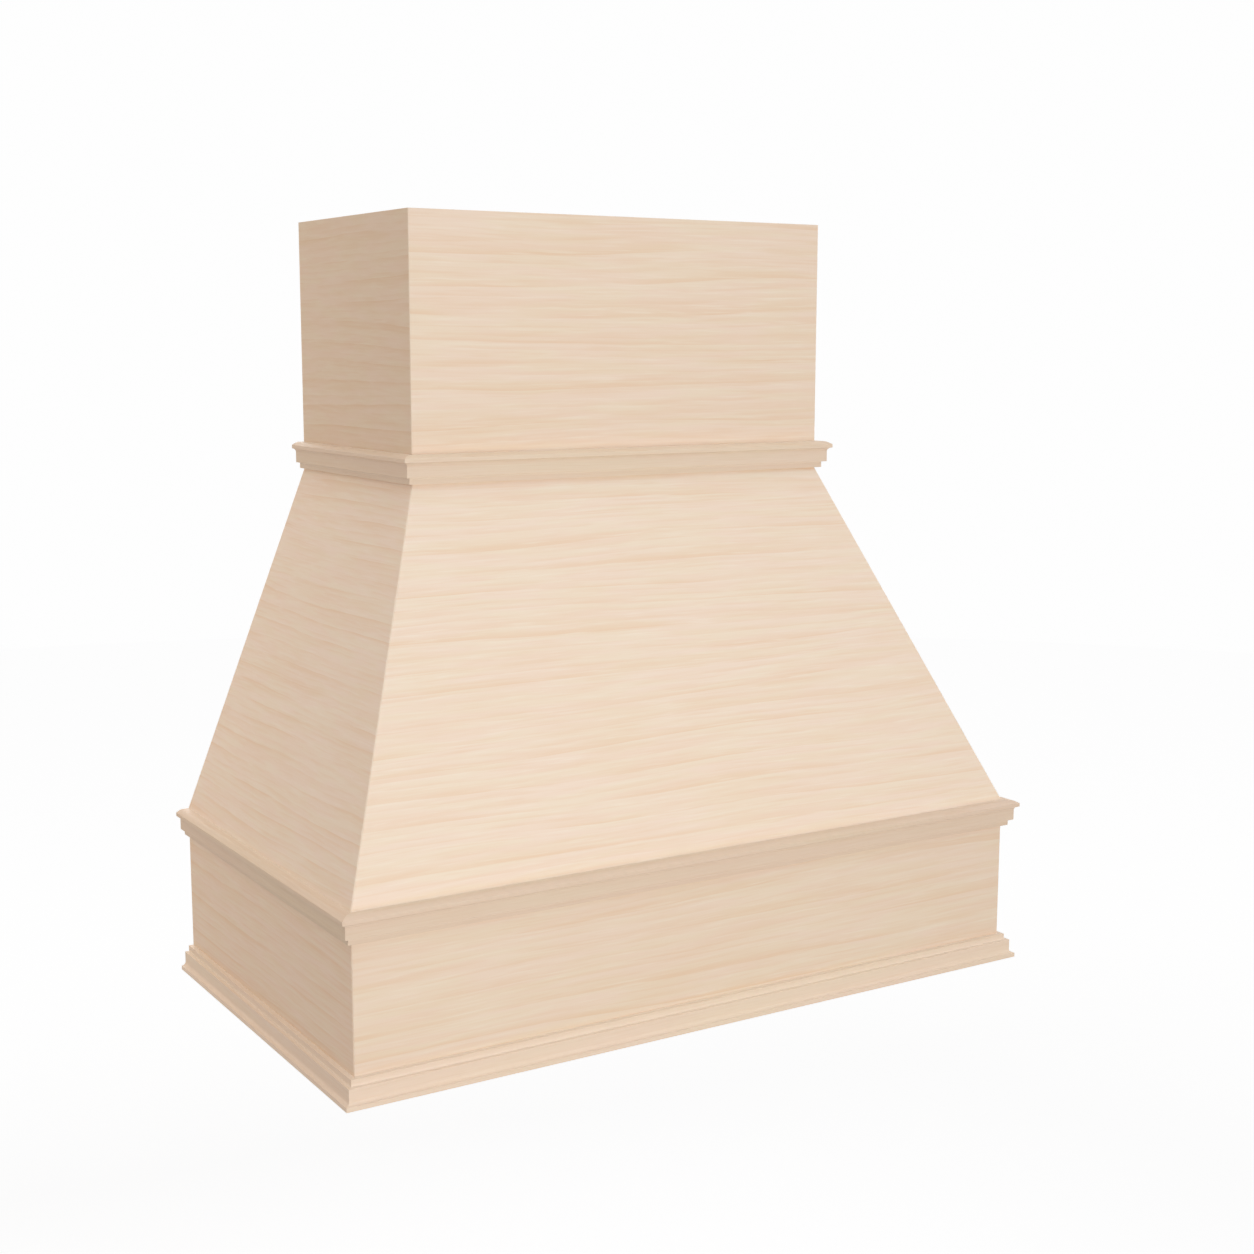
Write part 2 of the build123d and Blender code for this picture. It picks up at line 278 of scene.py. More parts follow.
@cache
def veneer_figure() -> bpy.types.NodeTree:
    """Figure of a flat-cut maple veneer: long growth lines that wander, fade and come back.

    The place across the grain is shifted by slow noise, so the lines wander together. A growth
    line is the sharp side of a saw wave across the grain, shown only where noise stretched along
    the grain is high. Finer traces are a second, closer saw wave, and soft bands and fibre are
    stretched noise. Stretch makes all of it longer or shorter along the grain.
    """
    inputs = {"Place": (0.0, 0.0, 0.0), "Pitch": 0.027, "Wander": 0.014, "Stretch": 1.0}
    group = Group("veneer_figure", inputs, ("Line", "Trace", "Band", "Fibre", "Blush"))
    wire, given = group.wiring, group.given
    along, across, depth = wire.separate(given["Place"])
    along = wire.maths("DIVIDE", along, given["Stretch"])
    drawn = wire.combine(along, across, depth)
    slow = wire.noise(drawn, (0.55, 0.14, 0.2), 1.0)
    quick = wire.noise(drawn, (0.08, 0.018, 0.1), 1.0)
    drift = wire.maths("MULTIPLY", wire.maths("SUBTRACT", slow, 0.5), given["Wander"])
    drift = wire.maths("MULTIPLY", drift, 2.0)
    shiver = wire.maths("MULTIPLY", wire.maths("SUBTRACT", quick, 0.5), 0.0022)
    shifted = wire.maths("ADD", wire.maths("ADD", across, drift), shiver)
    lay = wire.combine(along, shifted, depth)
    uneven = wire.maths("MULTIPLY", wire.noise(lay, (0.9, 0.07, 0.3), 1.0), 1.6)
    turns = wire.maths("ADD", wire.maths("DIVIDE", shifted, given["Pitch"]), uneven)
    presence = wire.noise(lay, (0.26, 0.014, 0.3), 1.0)
    group.give("Line", saw_line(wire, turns, (9.0, 2.0), 0.025, presence))
    closer = wire.maths("MULTIPLY", turns, 2.9)
    presence = wire.noise(lay, (0.10, 0.006, 0.3), 1.0)
    group.give("Trace", saw_line(wire, closer, (2.0, 2.0), 0.12, presence))
    group.give("Band", wire.noise(lay, (0.24, 0.011, 0.3), 2.0, 0.55))
    group.give("Fibre", wire.noise(lay, (0.07, 0.0032, 0.3), 2.0, 0.6))
    group.give("Blush", wire.noise(lay, (0.12, 0.014, 0.3), 1.0))
    return group.tree


def saw_line(
    wire: Wiring, turns: Socket, falls: tuple[float, float], rise: float, presence: Socket
) -> Socket:
    """A growth line: dark at once at one side, fading at the other.

    The fraction of the turns goes from 0 to 1 across a ring. The line is one less the fraction,
    raised to a high power for its core and to a low one for its fade.

    Args:
        wire: The group's wiring.
        turns: The ring number, whole and fraction.
        falls: The powers of the core and of the fade.
        rise: The share of a ring in which the line darkens.
        presence: Noise that says where the line shows.

    Returns:
        The line, from 0 to 1.
    """
    saw = wire.maths("FRACT", turns)
    left = wire.maths("SUBTRACT", 1.0, saw)
    core = wire.maths("MULTIPLY", wire.maths("POWER", left, falls[0]), 0.6)
    fade = wire.maths("MULTIPLY", wire.maths("POWER", left, falls[1]), 0.4)
    line = wire.maths("MULTIPLY", wire.maths("ADD", core, fade), wire.ramp(saw, 0.0, rise))
    return wire.maths("MULTIPLY", line, wire.ramp(presence, 0.32, 0.62))


@cache
def timber_figure() -> bpy.types.NodeTree:
    """Figure of solid timber: growth rings round a pith that lies beside the board.

    The ring number is the distance from the pith line over the ring pitch, bent by slow noise. On
    a face along the grain the rings show as long lines, and on an end as arcs. Rays and pores
    show as short fine strokes.
    """
    inputs = {"Place": (0.0, 0.0, 0.0), "Pitch": 0.004, "Pith": (0.0, -0.09, -0.03)}
    group = Group("timber_figure", inputs, ("Ring", "Fibre", "Blush"))
    wire, given = group.wiring, group.given
    bend = wire.noise(given["Place"], (0.30, 0.05, 0.05), 1.0)
    away = wire.vectors("SUBTRACT", given["Place"], given["Pith"]).outputs[0]
    flat = wire.vectors("MULTIPLY", away, (0.0, 1.0, 1.0)).outputs[0]
    reach = wire.vectors("LENGTH", flat).outputs["Value"]
    bent = wire.maths("ADD", reach, wire.maths("MULTIPLY", bend, 0.016))
    rings = wire.maths("FRACT", wire.maths("DIVIDE", bent, given["Pitch"]))
    tail = wire.maths("POWER", wire.maths("SUBTRACT", 1.0, rings), 2.4)
    ring = wire.maths("MULTIPLY", tail, wire.ramp(rings, 0.0, 0.1))
    presence = wire.noise(given["Place"], (0.16, 0.008, 0.008), 1.0)
    group.give("Ring", wire.maths("MULTIPLY", ring, wire.ramp(presence, 0.38, 0.66)))
    group.give("Fibre", wire.noise(given["Place"], (0.04, 0.0014, 0.0014), 3.0, 0.65))
    group.give("Blush", wire.ramp(wire.noise(given["Place"], (0.25, 0.03, 0.03), 1.0), 0.3, 0.7))
    return group.tree


@cache
def ply_layers() -> bpy.types.NodeTree:
    """Edge of a plywood board: thin skins, and core layers by turns with dark glue lines between.

    The layer number is the depth under the skin over the layer's thickness, rounded down. Odd
    layers are long grain and even ones end grain, each with a tone of its own. The glue line is
    where the fraction is near 0 or 1, and a void is a rare dark gap in an end-grain layer.
    """
    inputs = {"Place": (0.0, 0.0, 0.0), "Layer": 0.0035, "Skin": 0.0007, "Thickness": 0.019}
    group = Group("ply_layers", inputs, ("Tone", "End", "Glue", "Void", "Skin"))
    wire, given = group.wiring, group.given
    along, across, level = wire.separate(given["Place"])
    depth = wire.maths("MULTIPLY", level, -1.0)
    wave = wire.maths("SUBTRACT", wire.noise(given["Place"], (0.06, 0.06, 0.4)), 0.5)
    waved = wire.maths("ADD", depth, wire.maths("MULTIPLY", wave, 0.0007))
    layer = wire.maths("DIVIDE", wire.maths("SUBTRACT", waved, given["Skin"]), given["Layer"])
    number = wire.maths("FLOOR", layer)
    tone = wire.add("ShaderNodeTexWhiteNoise", noise_dimensions="1D")
    wire.feed(tone.inputs["W"], number)
    end = wire.maths("LESS_THAN", wire.maths("FRACT", wire.maths("MULTIPLY", number, 0.5)), 0.25)
    middle = wire.maths("ABSOLUTE", wire.maths("SUBTRACT", wire.maths("FRACT", layer), 0.5))
    near = wire.maths("MINIMUM", depth, wire.maths("SUBTRACT", given["Thickness"], depth))
    skin = wire.ramp(wire.maths("SUBTRACT", near, given["Skin"]), 0.0001, -0.0001)
    coarse = wire.noise(given["Place"], (0.02, 0.02, 0.0016), 2.0)
    gaps = wire.noise(wire.combine(along, across, wire.maths("MULTIPLY", number, 0.37)), (0.03, 0.03, 0.1))
    void = wire.maths("MULTIPLY", wire.ramp(gaps, 0.76, 0.81), wire.ramp(middle, 0.34, 0.20))
    open_core = wire.maths("SUBTRACT", 1.0, skin)
    group.give("Tone", wire.maths("MULTIPLY", wire.maths("ADD", tone.outputs["Value"], coarse), 0.5))
    group.give("End", end)
    group.give("Glue", wire.maths("MULTIPLY", wire.ramp(middle, 0.455, 0.49), open_core))
    group.give("Void", wire.maths("MULTIPLY", wire.maths("MULTIPLY", void, end), open_core))
    group.give("Skin", skin)
    return group.tree


@cache
def edge_wear_and_highlight() -> bpy.types.NodeTree:
    """Where a piece's edges have been eased and handled, and where a pale highlight is painted along them.

    The normal that a small rounding would give is compared with the true one, so the mask is
    high along every edge, and slow and fine noise break it up.
    """
    inputs = {"Place": (0.0, 0.0, 0.0), "Reach": 0.0015}
    group = Group("edge_wear_and_highlight", inputs, ("Wear and highlight",))
    wire, given = group.wiring, group.given
    rounded = wire.add("ShaderNodeBevel", samples=4)
    wire.feed(rounded.inputs["Radius"], given["Reach"])
    true_normal = wire.add("ShaderNodeNewGeometry").outputs["Normal"]
    likeness = wire.vectors("DOT_PRODUCT", rounded.outputs[0], true_normal).outputs["Value"]
    edge = wire.ramp(likeness, 0.995, 0.90)
    broken = wire.noise(given["Place"], (0.02, 0.006, 0.006), 3.0, 0.6)
    group.give("Wear and highlight", wire.maths("MULTIPLY", edge, wire.ramp(broken, 0.25, 0.6, 0.35, 1.0)))
    return group.tree


@cache
def corner_shade() -> bpy.types.NodeTree:
    """How deep a place lies in a corner, where the mouldings are painted paler to lift the shade.

    The mask is one less the share of the near sky that is open, stepped so that open faces
    get none of it.
    """
    inputs = {"Reach": 0.02}
    group = Group("corner_shade", inputs, ("Shade",))
    wire, given = group.wiring, group.given
    near_sky = wire.add("ShaderNodeAmbientOcclusion", samples=8)
    wire.feed(near_sky.inputs["Distance"], given["Reach"])
    group.give("Shade", wire.ramp(near_sky.outputs["AO"], 1.0, 0.3))
    return group.tree


# ---- Where a board's grain runs ----


@dataclass(frozen=True)
class BoardSpace:
    """A board's own axes: X along the grain, Y across it and Z out of its show face.

    Attributes:
        origin: A point on the show face.
        grain: The direction of the grain.
        face: The direction out of the show face.
        leaf: Number of the veneer leaf or plank, which shifts the pattern to a place of its own.
    """

    origin: Point
    grain: Point
    face: Point
    leaf: int

    def axes(self) -> Matrix:
        """The turn that carries the object's axes to the board's."""
        out = Vector(self.face).normalized()
        along = Vector(self.grain)
        along = (along - out * along.dot(out)).normalized()
        return Matrix((along, out.cross(along), out))

    def turned(self, wire: Wiring, coordinate: str, kind: str) -> bpy.types.Node:
        """A Mapping node that turns one of the object's coordinates to the board's axes."""
        node = wire.add("ShaderNodeMapping", vector_type=kind)
        node.inputs["Rotation"].default_value = self.axes().to_euler("XYZ")
        wire.feed(node.inputs["Vector"], wire.add("ShaderNodeTexCoord").outputs[coordinate])
        return node

    def lay(self, wire: Wiring) -> tuple[Socket, Socket]:
        """Wire the board's coordinates.

        Args:
            wire: The material's wiring.

        Returns:
            The place in the pattern, and the true place, whose Z is 0 on the show face.
        """
        true = self.turned(wire, "Object", "POINT")
        true.inputs["Location"].default_value = -(self.axes() @ Vector(self.origin))
        shift = Vector((1.31, 0.73, 0.41)) * self.leaf
        return wire.vectors("ADD", true.outputs[0], shift).outputs[0], true.outputs[0]

    def sawn(self, wire: Wiring) -> Socket:
        """Where a sawn edge shows: 0 on the board's faces and 1 on what lies well across them."""
        facing = self.turned(wire, "Normal", "VECTOR")
        square = wire.maths("ABSOLUTE", wire.separate(facing.outputs[0])[2])
        return wire.ramp(square, 0.62, 0.52)


# ---- Finishes ----


WOOD_SHEEN = {"Specular IOR Level": 0.3}


@dataclass(frozen=True)
class Look:
    """What a finish feeds its shader.

    Attributes:
        colour: The base colour.
        rough: The roughness.
        relief: The height of the surface, from 0 to 1.
        depth: How high a relief of 1 is, in metres.
        constants: Values of other sockets, by name.
    """

    colour: Socket
    rough: Socket
    relief: Socket
    depth: float
    constants: dict[str, Feed] = field(default_factory=WOOD_SHEEN.copy)


class Finish:
    """What every finish shares: a material whose Principled shader gets the finish's look."""

    def look(self, wire: Wiring) -> Look:
        """The finish's look, wired in a material. Each finish has its own."""
        raise NotImplementedError

    def material(self, name: str) -> bpy.types.Material:
        """A new material of that name with the finish's look."""
        material = bpy.data.materials.new(name)
        material.use_nodes = True
        shader = material.node_tree.nodes["Principled BSDF"]
        wire = Wiring(material.node_tree)
        look = self.look(wire)
        wire.feed(shader.inputs["Base Color"], look.colour)
        wire.feed(shader.inputs["Roughness"], look.rough)
        for socket, value in look.constants.items():
            shader.inputs[socket].default_value = value
        bump = wire.add("ShaderNodeBump")
        bump.inputs["Distance"].default_value = look.depth
        bump.inputs["Strength"].default_value = 1.0
        wire.feed(bump.inputs["Height"], look.relief)
        wire.feed(shader.inputs["Normal"], bump.outputs[0])
        return material


@dataclass(frozen=True)
class PlyEdge:
    """Colours of a plywood board's bare edge.

    Attributes:
        long_grain: The layers whose grain runs along the edge.
        end_grain: The layers whose grain ends at it.
        glue_line: The glue between the layers.
        gap: A void in a layer.
        end_share: How much of their colour the end-grain layers get on top of their tone.
    """

    long_grain: Colour
    end_grain: Colour
    glue_line: Colour
    gap: Colour
    end_share: float

    def colour(self, wire: Wiring, layers: dict[str, Socket], skin: Colour) -> Socket:
        """The edge's colour.

        Args:
            wire: The material's wiring.
            layers: What ply_layers gives.
            skin: Colour of the outer veneers.

        Returns:
            The colour.
        """
        edge = wire.tint(layers["Tone"], self.long_grain, self.end_grain)
        edge = wire.tint(layers["End"], edge, self.end_grain, self.end_share)
        edge = wire.tint(layers["Skin"], edge, skin)
        edge = wire.tint(layers["Void"], edge, self.gap)
        return wire.tint(layers["Glue"], edge, self.glue_line, 0.6)


@dataclass(frozen=True)
class VeneerLines:
    """How the growth lines of a veneer leaf look.

    Attributes:
        pitch: How far apart they are.
        wander: How far they stray across the grain.
        stretch: How long the figure is along the grain, as a factor.
        strength: How strongly they show.
        fibre: How strongly the fine fibre between them shows, as a factor.
    """

    pitch: float = 0.027
    wander: float = 0.014
    stretch: float = 1.0
    strength: float = 0.85
    fibre: float = 1.0


@dataclass(frozen=True)
class Maple(Finish):
    """What veneer and solid maple share: the board's axes and four hues.

    Attributes:
        space: The board's axes.
        tone: Factors of red, green and blue that set this board apart from the others, and that also paint
            light or shade by the side the board faces.
    """

    space: BoardSpace
    tone: Point = PLAIN
    cream: Colour = paint(238, 220, 199)
    pink: Colour = paint(239, 218, 200)
    honey: Colour = paint(232, 202, 172)
    pale: Colour = paint(243, 229, 213)

    def hues(self) -> tuple[Colour, ...]:
        """Cream, pink, honey and pale in this board's tone."""
        return tuple(toned(hue, self.tone) for hue in (self.cream, self.pink, self.honey, self.pale))


@dataclass(frozen=True)
class MapleVeneer(Maple):
    """Maple-faced plywood: flat-cut veneer on both faces and bare layers at the edges.

    Attributes:
        lines: How the leaf's growth lines look.
        edge: Colours of the bare edges.
    """

    lines: VeneerLines = VeneerLines()
    edge: PlyEdge = PlyEdge(
        long_grain=paint(226, 201, 167),
        end_grain=paint(203, 170, 131),
        glue_line=paint(140, 104, 70),
        gap=paint(112, 82, 56),
        end_share=0.5,
    )

    def look(self, wire: Wiring) -> Look:
        """The look of one board."""
        place, true_place = self.space.lay(wire)
        cream, pink, honey, pale = self.hues()
        lines = self.lines
        sizes = {"Pitch": lines.pitch, "Wander": lines.wander, "Stretch": lines.stretch}
        figure = wire.use(veneer_figure(), Place=place, **sizes)
        fibre = figure["Fibre"]
        face = wire.tint(wire.ramp(figure["Blush"], 0.35, 0.65), cream, pink)
        face = wire.tint(wire.ramp(figure["Band"], 0.45, 0.75, 0.0, 0.28), face, honey)
        face = wire.tint(figure["Trace"], face, honey, 0.45)
        face = wire.tint(figure["Line"], face, honey, lines.strength)
        face = wire.tint(wire.ramp(fibre, 0.5, 0.8, 0.0, 0.5 * lines.fibre), face, pale)
        face = wire.tint(wire.ramp(fibre, 0.5, 0.2, 0.0, 0.35 * lines.fibre), face, honey)
        # Pale along the edges: partly handled wear, partly a painted highlight where the edges catch the
        # light.
        face = wire.tint(wire.use(edge_wear_and_highlight(), Place=place)["Wear and highlight"], face, pale, 0.35)
        layers = wire.use(ply_layers(), Place=true_place)
        bare = self.space.sawn(wire)
        colour = wire.tint(bare, face, self.edge.colour(wire, layers, cream))
        rough = wire.ramp(fibre, 0.2, 0.8, 0.62, 0.50)
        rough = wire.maths("MAXIMUM", rough, wire.maths("MULTIPLY", bare, 0.8))
        relief = wire.add("ShaderNodeMix", bare, data_type="FLOAT")
        grain = wire.maths("SUBTRACT", fibre, wire.maths("MULTIPLY", figure["Line"], 0.4))
        plies = wire.maths("SUBTRACT", layers["Tone"], wire.maths("MULTIPLY", layers["Void"], 3.0))
        wire.feed(relief.inputs[2], grain)
        wire.feed(relief.inputs[3], plies)
        return Look(colour, rough, relief.outputs[0], 0.00006)


@dataclass(frozen=True)
class SolidMaple(Maple):
    """Solid maple moulding, run with the grain along its length.

    Attributes:
        painted_corner_light_share: How strongly the moulding's inner corners are painted paler, a painted
            light that lifts their shade.
    """

    cream: Colour = paint(237, 219, 198)
    pink: Colour = paint(238, 217, 199)
    honey: Colour = paint(230, 203, 175)
    pale: Colour = paint(245, 231, 215)
    # Pale colour painted into the inner corners: painted light that lifts the shade there.
    painted_corner_light: Colour = paint(253, 248, 240)
    painted_corner_light_share: float = 0.48

    def look(self, wire: Wiring) -> Look:
        """The look of one length of moulding."""
        place = self.space.lay(wire)[0]
        cream, pink, honey, pale = self.hues()
        figure = wire.use(timber_figure(), Place=place)
        fibre = figure["Fibre"]
        colour = wire.tint(figure["Blush"], cream, pink)
        colour = wire.tint(figure["Ring"], colour, honey, 0.4)
        colour = wire.tint(wire.ramp(fibre, 0.5, 0.8, 0.0, 0.4), colour, pale)
        colour = wire.tint(wire.ramp(fibre, 0.5, 0.2, 0.0, 0.4), colour, honey)
        # Pale along the edges: partly handled wear, partly a painted highlight where the edges catch the
        # light.
        colour = wire.tint(wire.use(edge_wear_and_highlight(), Place=place, Reach=0.0008)["Wear and highlight"], colour, pale, 0.2)
        # Painted light: the inner corners are made paler the deeper they lie, to lift their shade.
        shade = wire.use(corner_shade(), Reach=0.016)["Shade"]
        colour = wire.tint(shade, colour, self.painted_corner_light, self.painted_corner_light_share)
        return Look(colour, wire.ramp(fibre, 0.2, 0.8, 0.58, 0.46), fibre, 0.00005)


@dataclass(frozen=True)
class CorePlywood(Finish):
    """Birch plywood of the hidden rails: plain faces, and thin layers at the sawn edges."""

    space: BoardSpace
    sapwood: Colour = paint(231, 209, 176)
    tan: Colour = paint(223, 196, 158)
    edge: PlyEdge = PlyEdge(
        long_grain=paint(221, 191, 149),
        end_grain=paint(184, 146, 103),
        glue_line=paint(104, 72, 44),
        gap=paint(96, 68, 44),
        end_share=0.55,
    )

    def look(self, wire: Wiring) -> Look:
        """The look of one rail."""
        place, true_place = self.space.lay(wire)
        figure = wire.use(veneer_figure(), Place=place, Pitch=0.017, Wander=0.02)
        fibre = figure["Fibre"]
        face = wire.tint(wire.ramp(figure["Blush"], 0.35, 0.65), self.sapwood, self.tan)
        face = wire.tint(figure["Line"], face, self.edge.end_grain, 0.3)
        face = wire.tint(figure["Trace"], face, self.edge.end_grain, 0.15)
        face = wire.tint(wire.ramp(fibre, 0.5, 0.25, 0.0, 0.5), face, self.tan)
        layers = wire.use(ply_layers(), Place=true_place, Layer=0.00146, Skin=0.0009)
        colour = wire.tint(self.space.sawn(wire), face, self.edge.colour(wire, layers, self.sapwood))
        return Look(colour, wire.ramp(fibre, 0.2, 0.8, 0.78, 0.62), fibre, 0.00012)


@dataclass(frozen=True)
class BlockHardwood(Finish):
    """Planed poplar of the corner blocks and splines."""

    space: BoardSpace
    body: Colour = paint(233, 215, 182)
    green: Colour = paint(223, 208, 172)
    ring: Colour = paint(198, 172, 128)
    pale: Colour = paint(238, 223, 192)

    def look(self, wire: Wiring) -> Look:
        """The look of one block or spline."""
        place = self.space.lay(wire)[0]
        figure = wire.use(timber_figure(), Place=place, Pitch=0.0045)
        fibre = figure["Fibre"]
        colour = wire.tint(figure["Blush"], self.body, self.green)
        colour = wire.tint(figure["Ring"], colour, self.ring, 0.5)
        colour = wire.tint(wire.ramp(fibre, 0.5, 0.2, 0.0, 0.35), colour, self.ring)
        colour = wire.tint(wire.use(edge_wear_and_highlight(), Place=place, Reach=0.001)["Wear and highlight"], colour, self.pale, 0.5)
        return Look(colour, wire.ramp(fibre, 0.2, 0.8, 0.72, 0.6), fibre, 0.0001)


@dataclass(frozen=True)
class ZincSteel(Finish):
    """Yellow zinc-plated steel of the screws."""

    bright: Colour = paint(214, 190, 132)
    dull: Colour = paint(168, 142, 92)
    worn: Colour = paint(226, 222, 212)

    def look(self, wire: Wiring) -> Look:
        """The screws' look."""
        place = wire.add("ShaderNodeTexCoord").outputs["Object"]
        cloud = wire.noise(place, (0.004, 0.004, 0.004), 3.0, 0.6)
        scratch = wire.noise(place, (0.0004, 0.004, 0.0004), 2.0)
        colour = wire.tint(wire.ramp(cloud, 0.35, 0.65), self.bright, self.dull)
        colour = wire.tint(wire.use(edge_wear_and_highlight(), Place=place, Reach=0.0003)["Wear and highlight"], colour, self.worn)
        rough = wire.ramp(scratch, 0.3, 0.7, 0.28, 0.46)
        return Look(colour, rough, scratch, 0.00001, {"Metallic": 1.0})


@dataclass(frozen=True)
class DriedGlue(Finish):
    """Yellow wood glue that was squeezed out and dried."""

    amber: Colour = paint(226, 198, 140)
    milky: Colour = paint(238, 221, 180)

    def look(self, wire: Wiring) -> Look:
        """The glue's look."""
        place = wire.add("ShaderNodeTexCoord").outputs["Object"]
        cloud = wire.noise(place, (0.006, 0.006, 0.006), 2.0)
        colour = wire.tint(wire.ramp(cloud, 0.3, 0.7), self.amber, self.milky)
        depths = {"Subsurface Weight": 0.2, "Subsurface Radius": (0.002, 0.0012, 0.0005)}
        return Look(colour, wire.ramp(cloud, 0.3, 0.7, 0.25, 0.45), cloud, 0.0001, depths)


def dress(node: str, finish: Finish, slot: Slot) -> str:
    """Give a CAD node its material.

    Args:
        node: The node's name.
        finish: The finish that makes the material.
        slot: The record's slot, which the material's name starts with.

    Returns:
        The node's name.
    """
    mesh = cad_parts[node].data
    mesh.materials.clear()
    mesh.materials.append(finish.material(f"{slot.value}_{node}"))
    return node


def stand_in(piece: bpy.types.Object, node: str, finish: Finish, slot: Slot) -> str:
    """Finish a new piece and put it in the place of a CAD node.

    Args:
        piece: The piece.
        node: The name of the node that it replaces.
        finish: The finish that makes the material.
        slot: The record's slot, which the material's name starts with.

    Returns:
        The piece's name.
    """
    piece.data.materials.append(finish.material(f"{slot.value}_{piece.name}"))
    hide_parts(node)
    return piece.name


# ---- New meshes ----


def make_piece(name: str, points: np.ndarray, faces: list[list[int]], smooth: bool) -> bpy.types.Object:
    """Put computed points and faces into a new object at the origin.

    Args:
        name: The piece's name.
        points: Points in metres, in rows of three.
        faces: Corner numbers of each face.
        smooth: Whether the faces are shaded smooth.

    Returns:
        The object, which rides on the only body.
    """
    mesh = bpy.data.meshes.new(name)
    mesh.from_pydata(np.asarray(points).reshape(-1, 3), [], faces)
    mesh.polygons.foreach_set("use_smooth", np.full(len(faces), smooth))
    mesh.update()
    piece = bpy.data.objects.new(name, mesh)
    bpy.context.scene.collection.objects.link(piece)
    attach(piece, "root")
    return piece


def closed_tube(rows: int, columns: int) -> tuple[list[list[int]], list[list[int]]]:
    """Faces of a tube of points numbered row by row, whose last column joins the first.

    Args:
        rows: How many rows of points.
        columns: How many points a row has.

    Returns:
        The sides with four corners each, going along a row and then up, and the two ends.
    """
    ring = np.arange(columns)
    here = np.arange(rows - 1)[:, None] * columns + ring
    beside = np.arange(rows - 1)[:, None] * columns + (ring + 1) % columns
    sides = np.stack((here, beside, beside + columns, here + columns), axis=-1).reshape(-1, 4)
    ends = np.stack((ring[::-1], ring + (rows - 1) * columns))
    return sides.tolist(), ends.tolist()


def joined(shells: list[list[list[int]]], size: int) -> list[list[int]]:
    """Faces of several shells in one mesh, where each shell has that many points."""
    return [
        [corner + number * size for corner in face]
        for number, shell in enumerate(shells)
        for face in shell
    ]


def softened(corners: np.ndarray, radii: np.ndarray, steps: int) -> tuple[np.ndarray, np.ndarray]:
    """A closed outline with an arc at every corner, and which way each point faces.

    At a corner with half angle h, the arc of radius r touches both sides at r over tan h from the
    corner, and its centre is on the half line at r over sin h. The arc turns evenly from one
    touching point to the other. A point faces away from the arc's centre at an outer corner and
    towards it at an inner one.

    Args:
        corners: The corners, one a row, in the order that keeps the solid on the left.
        radii: The arc's radius at each corner.
        steps: How many runs an arc has.

    Returns:
        The points of the outline in order, and the way that each faces.
    """
    before = np.roll(corners, 1, axis=0) - corners
    after = np.roll(corners, -1, axis=0) - corners
    before /= np.linalg.norm(before, axis=1, keepdims=True)
    after /= np.linalg.norm(after, axis=1, keepdims=True)
    outer = np.sign(after[:, 0] * before[:, 1] - after[:, 1] * before[:, 0])
    half = np.arccos(np.clip((before * after).sum(1), -1, 1)) / 2
    reach = (radii / np.tan(half))[:, None]
    middle = before + after
    middle /= np.linalg.norm(middle, axis=1, keepdims=True)
    centre = corners + middle * (radii / np.sin(half))[:, None]
    first = corners + before * reach - centre
    last = corners + after * reach - centre
    turn = (np.pi - 2 * half)[:, None]
    share = np.linspace(0, 1, steps + 1)[None, :]
    weight_first = np.sin((1 - share) * turn) / np.sin(turn)
    weight_last = np.sin(share * turn) / np.sin(turn)
    spokes = weight_first[..., None] * first[:, None] + weight_last[..., None] * last[:, None]
    ways = outer[:, None, None] * spokes / radii[:, None, None]
    return (centre[:, None] + spokes).reshape(-1, 2), ways.reshape(-1, 2)


# ---- What the frame tells ----


def middle_of(node: str) -> Point:
    """The middle of a CAD node's box."""
    low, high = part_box(node)
    return tuple((low + high) / 2)


def open_edges(block: str) -> np.ndarray:
    """Where the open faces of a left corner block meet the panels.

    At its foot and at its top, the block reaches farthest right along the front panel and
    farthest back along the side panel.

    Args:
        block: The block's node.

    Returns:
        The points by foot and top, by front and side panel, and by X, Y and Z.
    """
    points = np.array([vertex.co[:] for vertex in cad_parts[block].data.vertices])
    edges = []
    for level in (points[:, 2].min(), points[:, 2].max()):
        end = points[np.abs(points[:, 2] - level) < 0.1 * MM, :2]
        (left, front), (right, back) = end.min(axis=0), end.max(axis=0)
        edges.append(((right, front, level), (left, back, level)))
    return np.array(edges)


# ---- Sub-assemblies ----


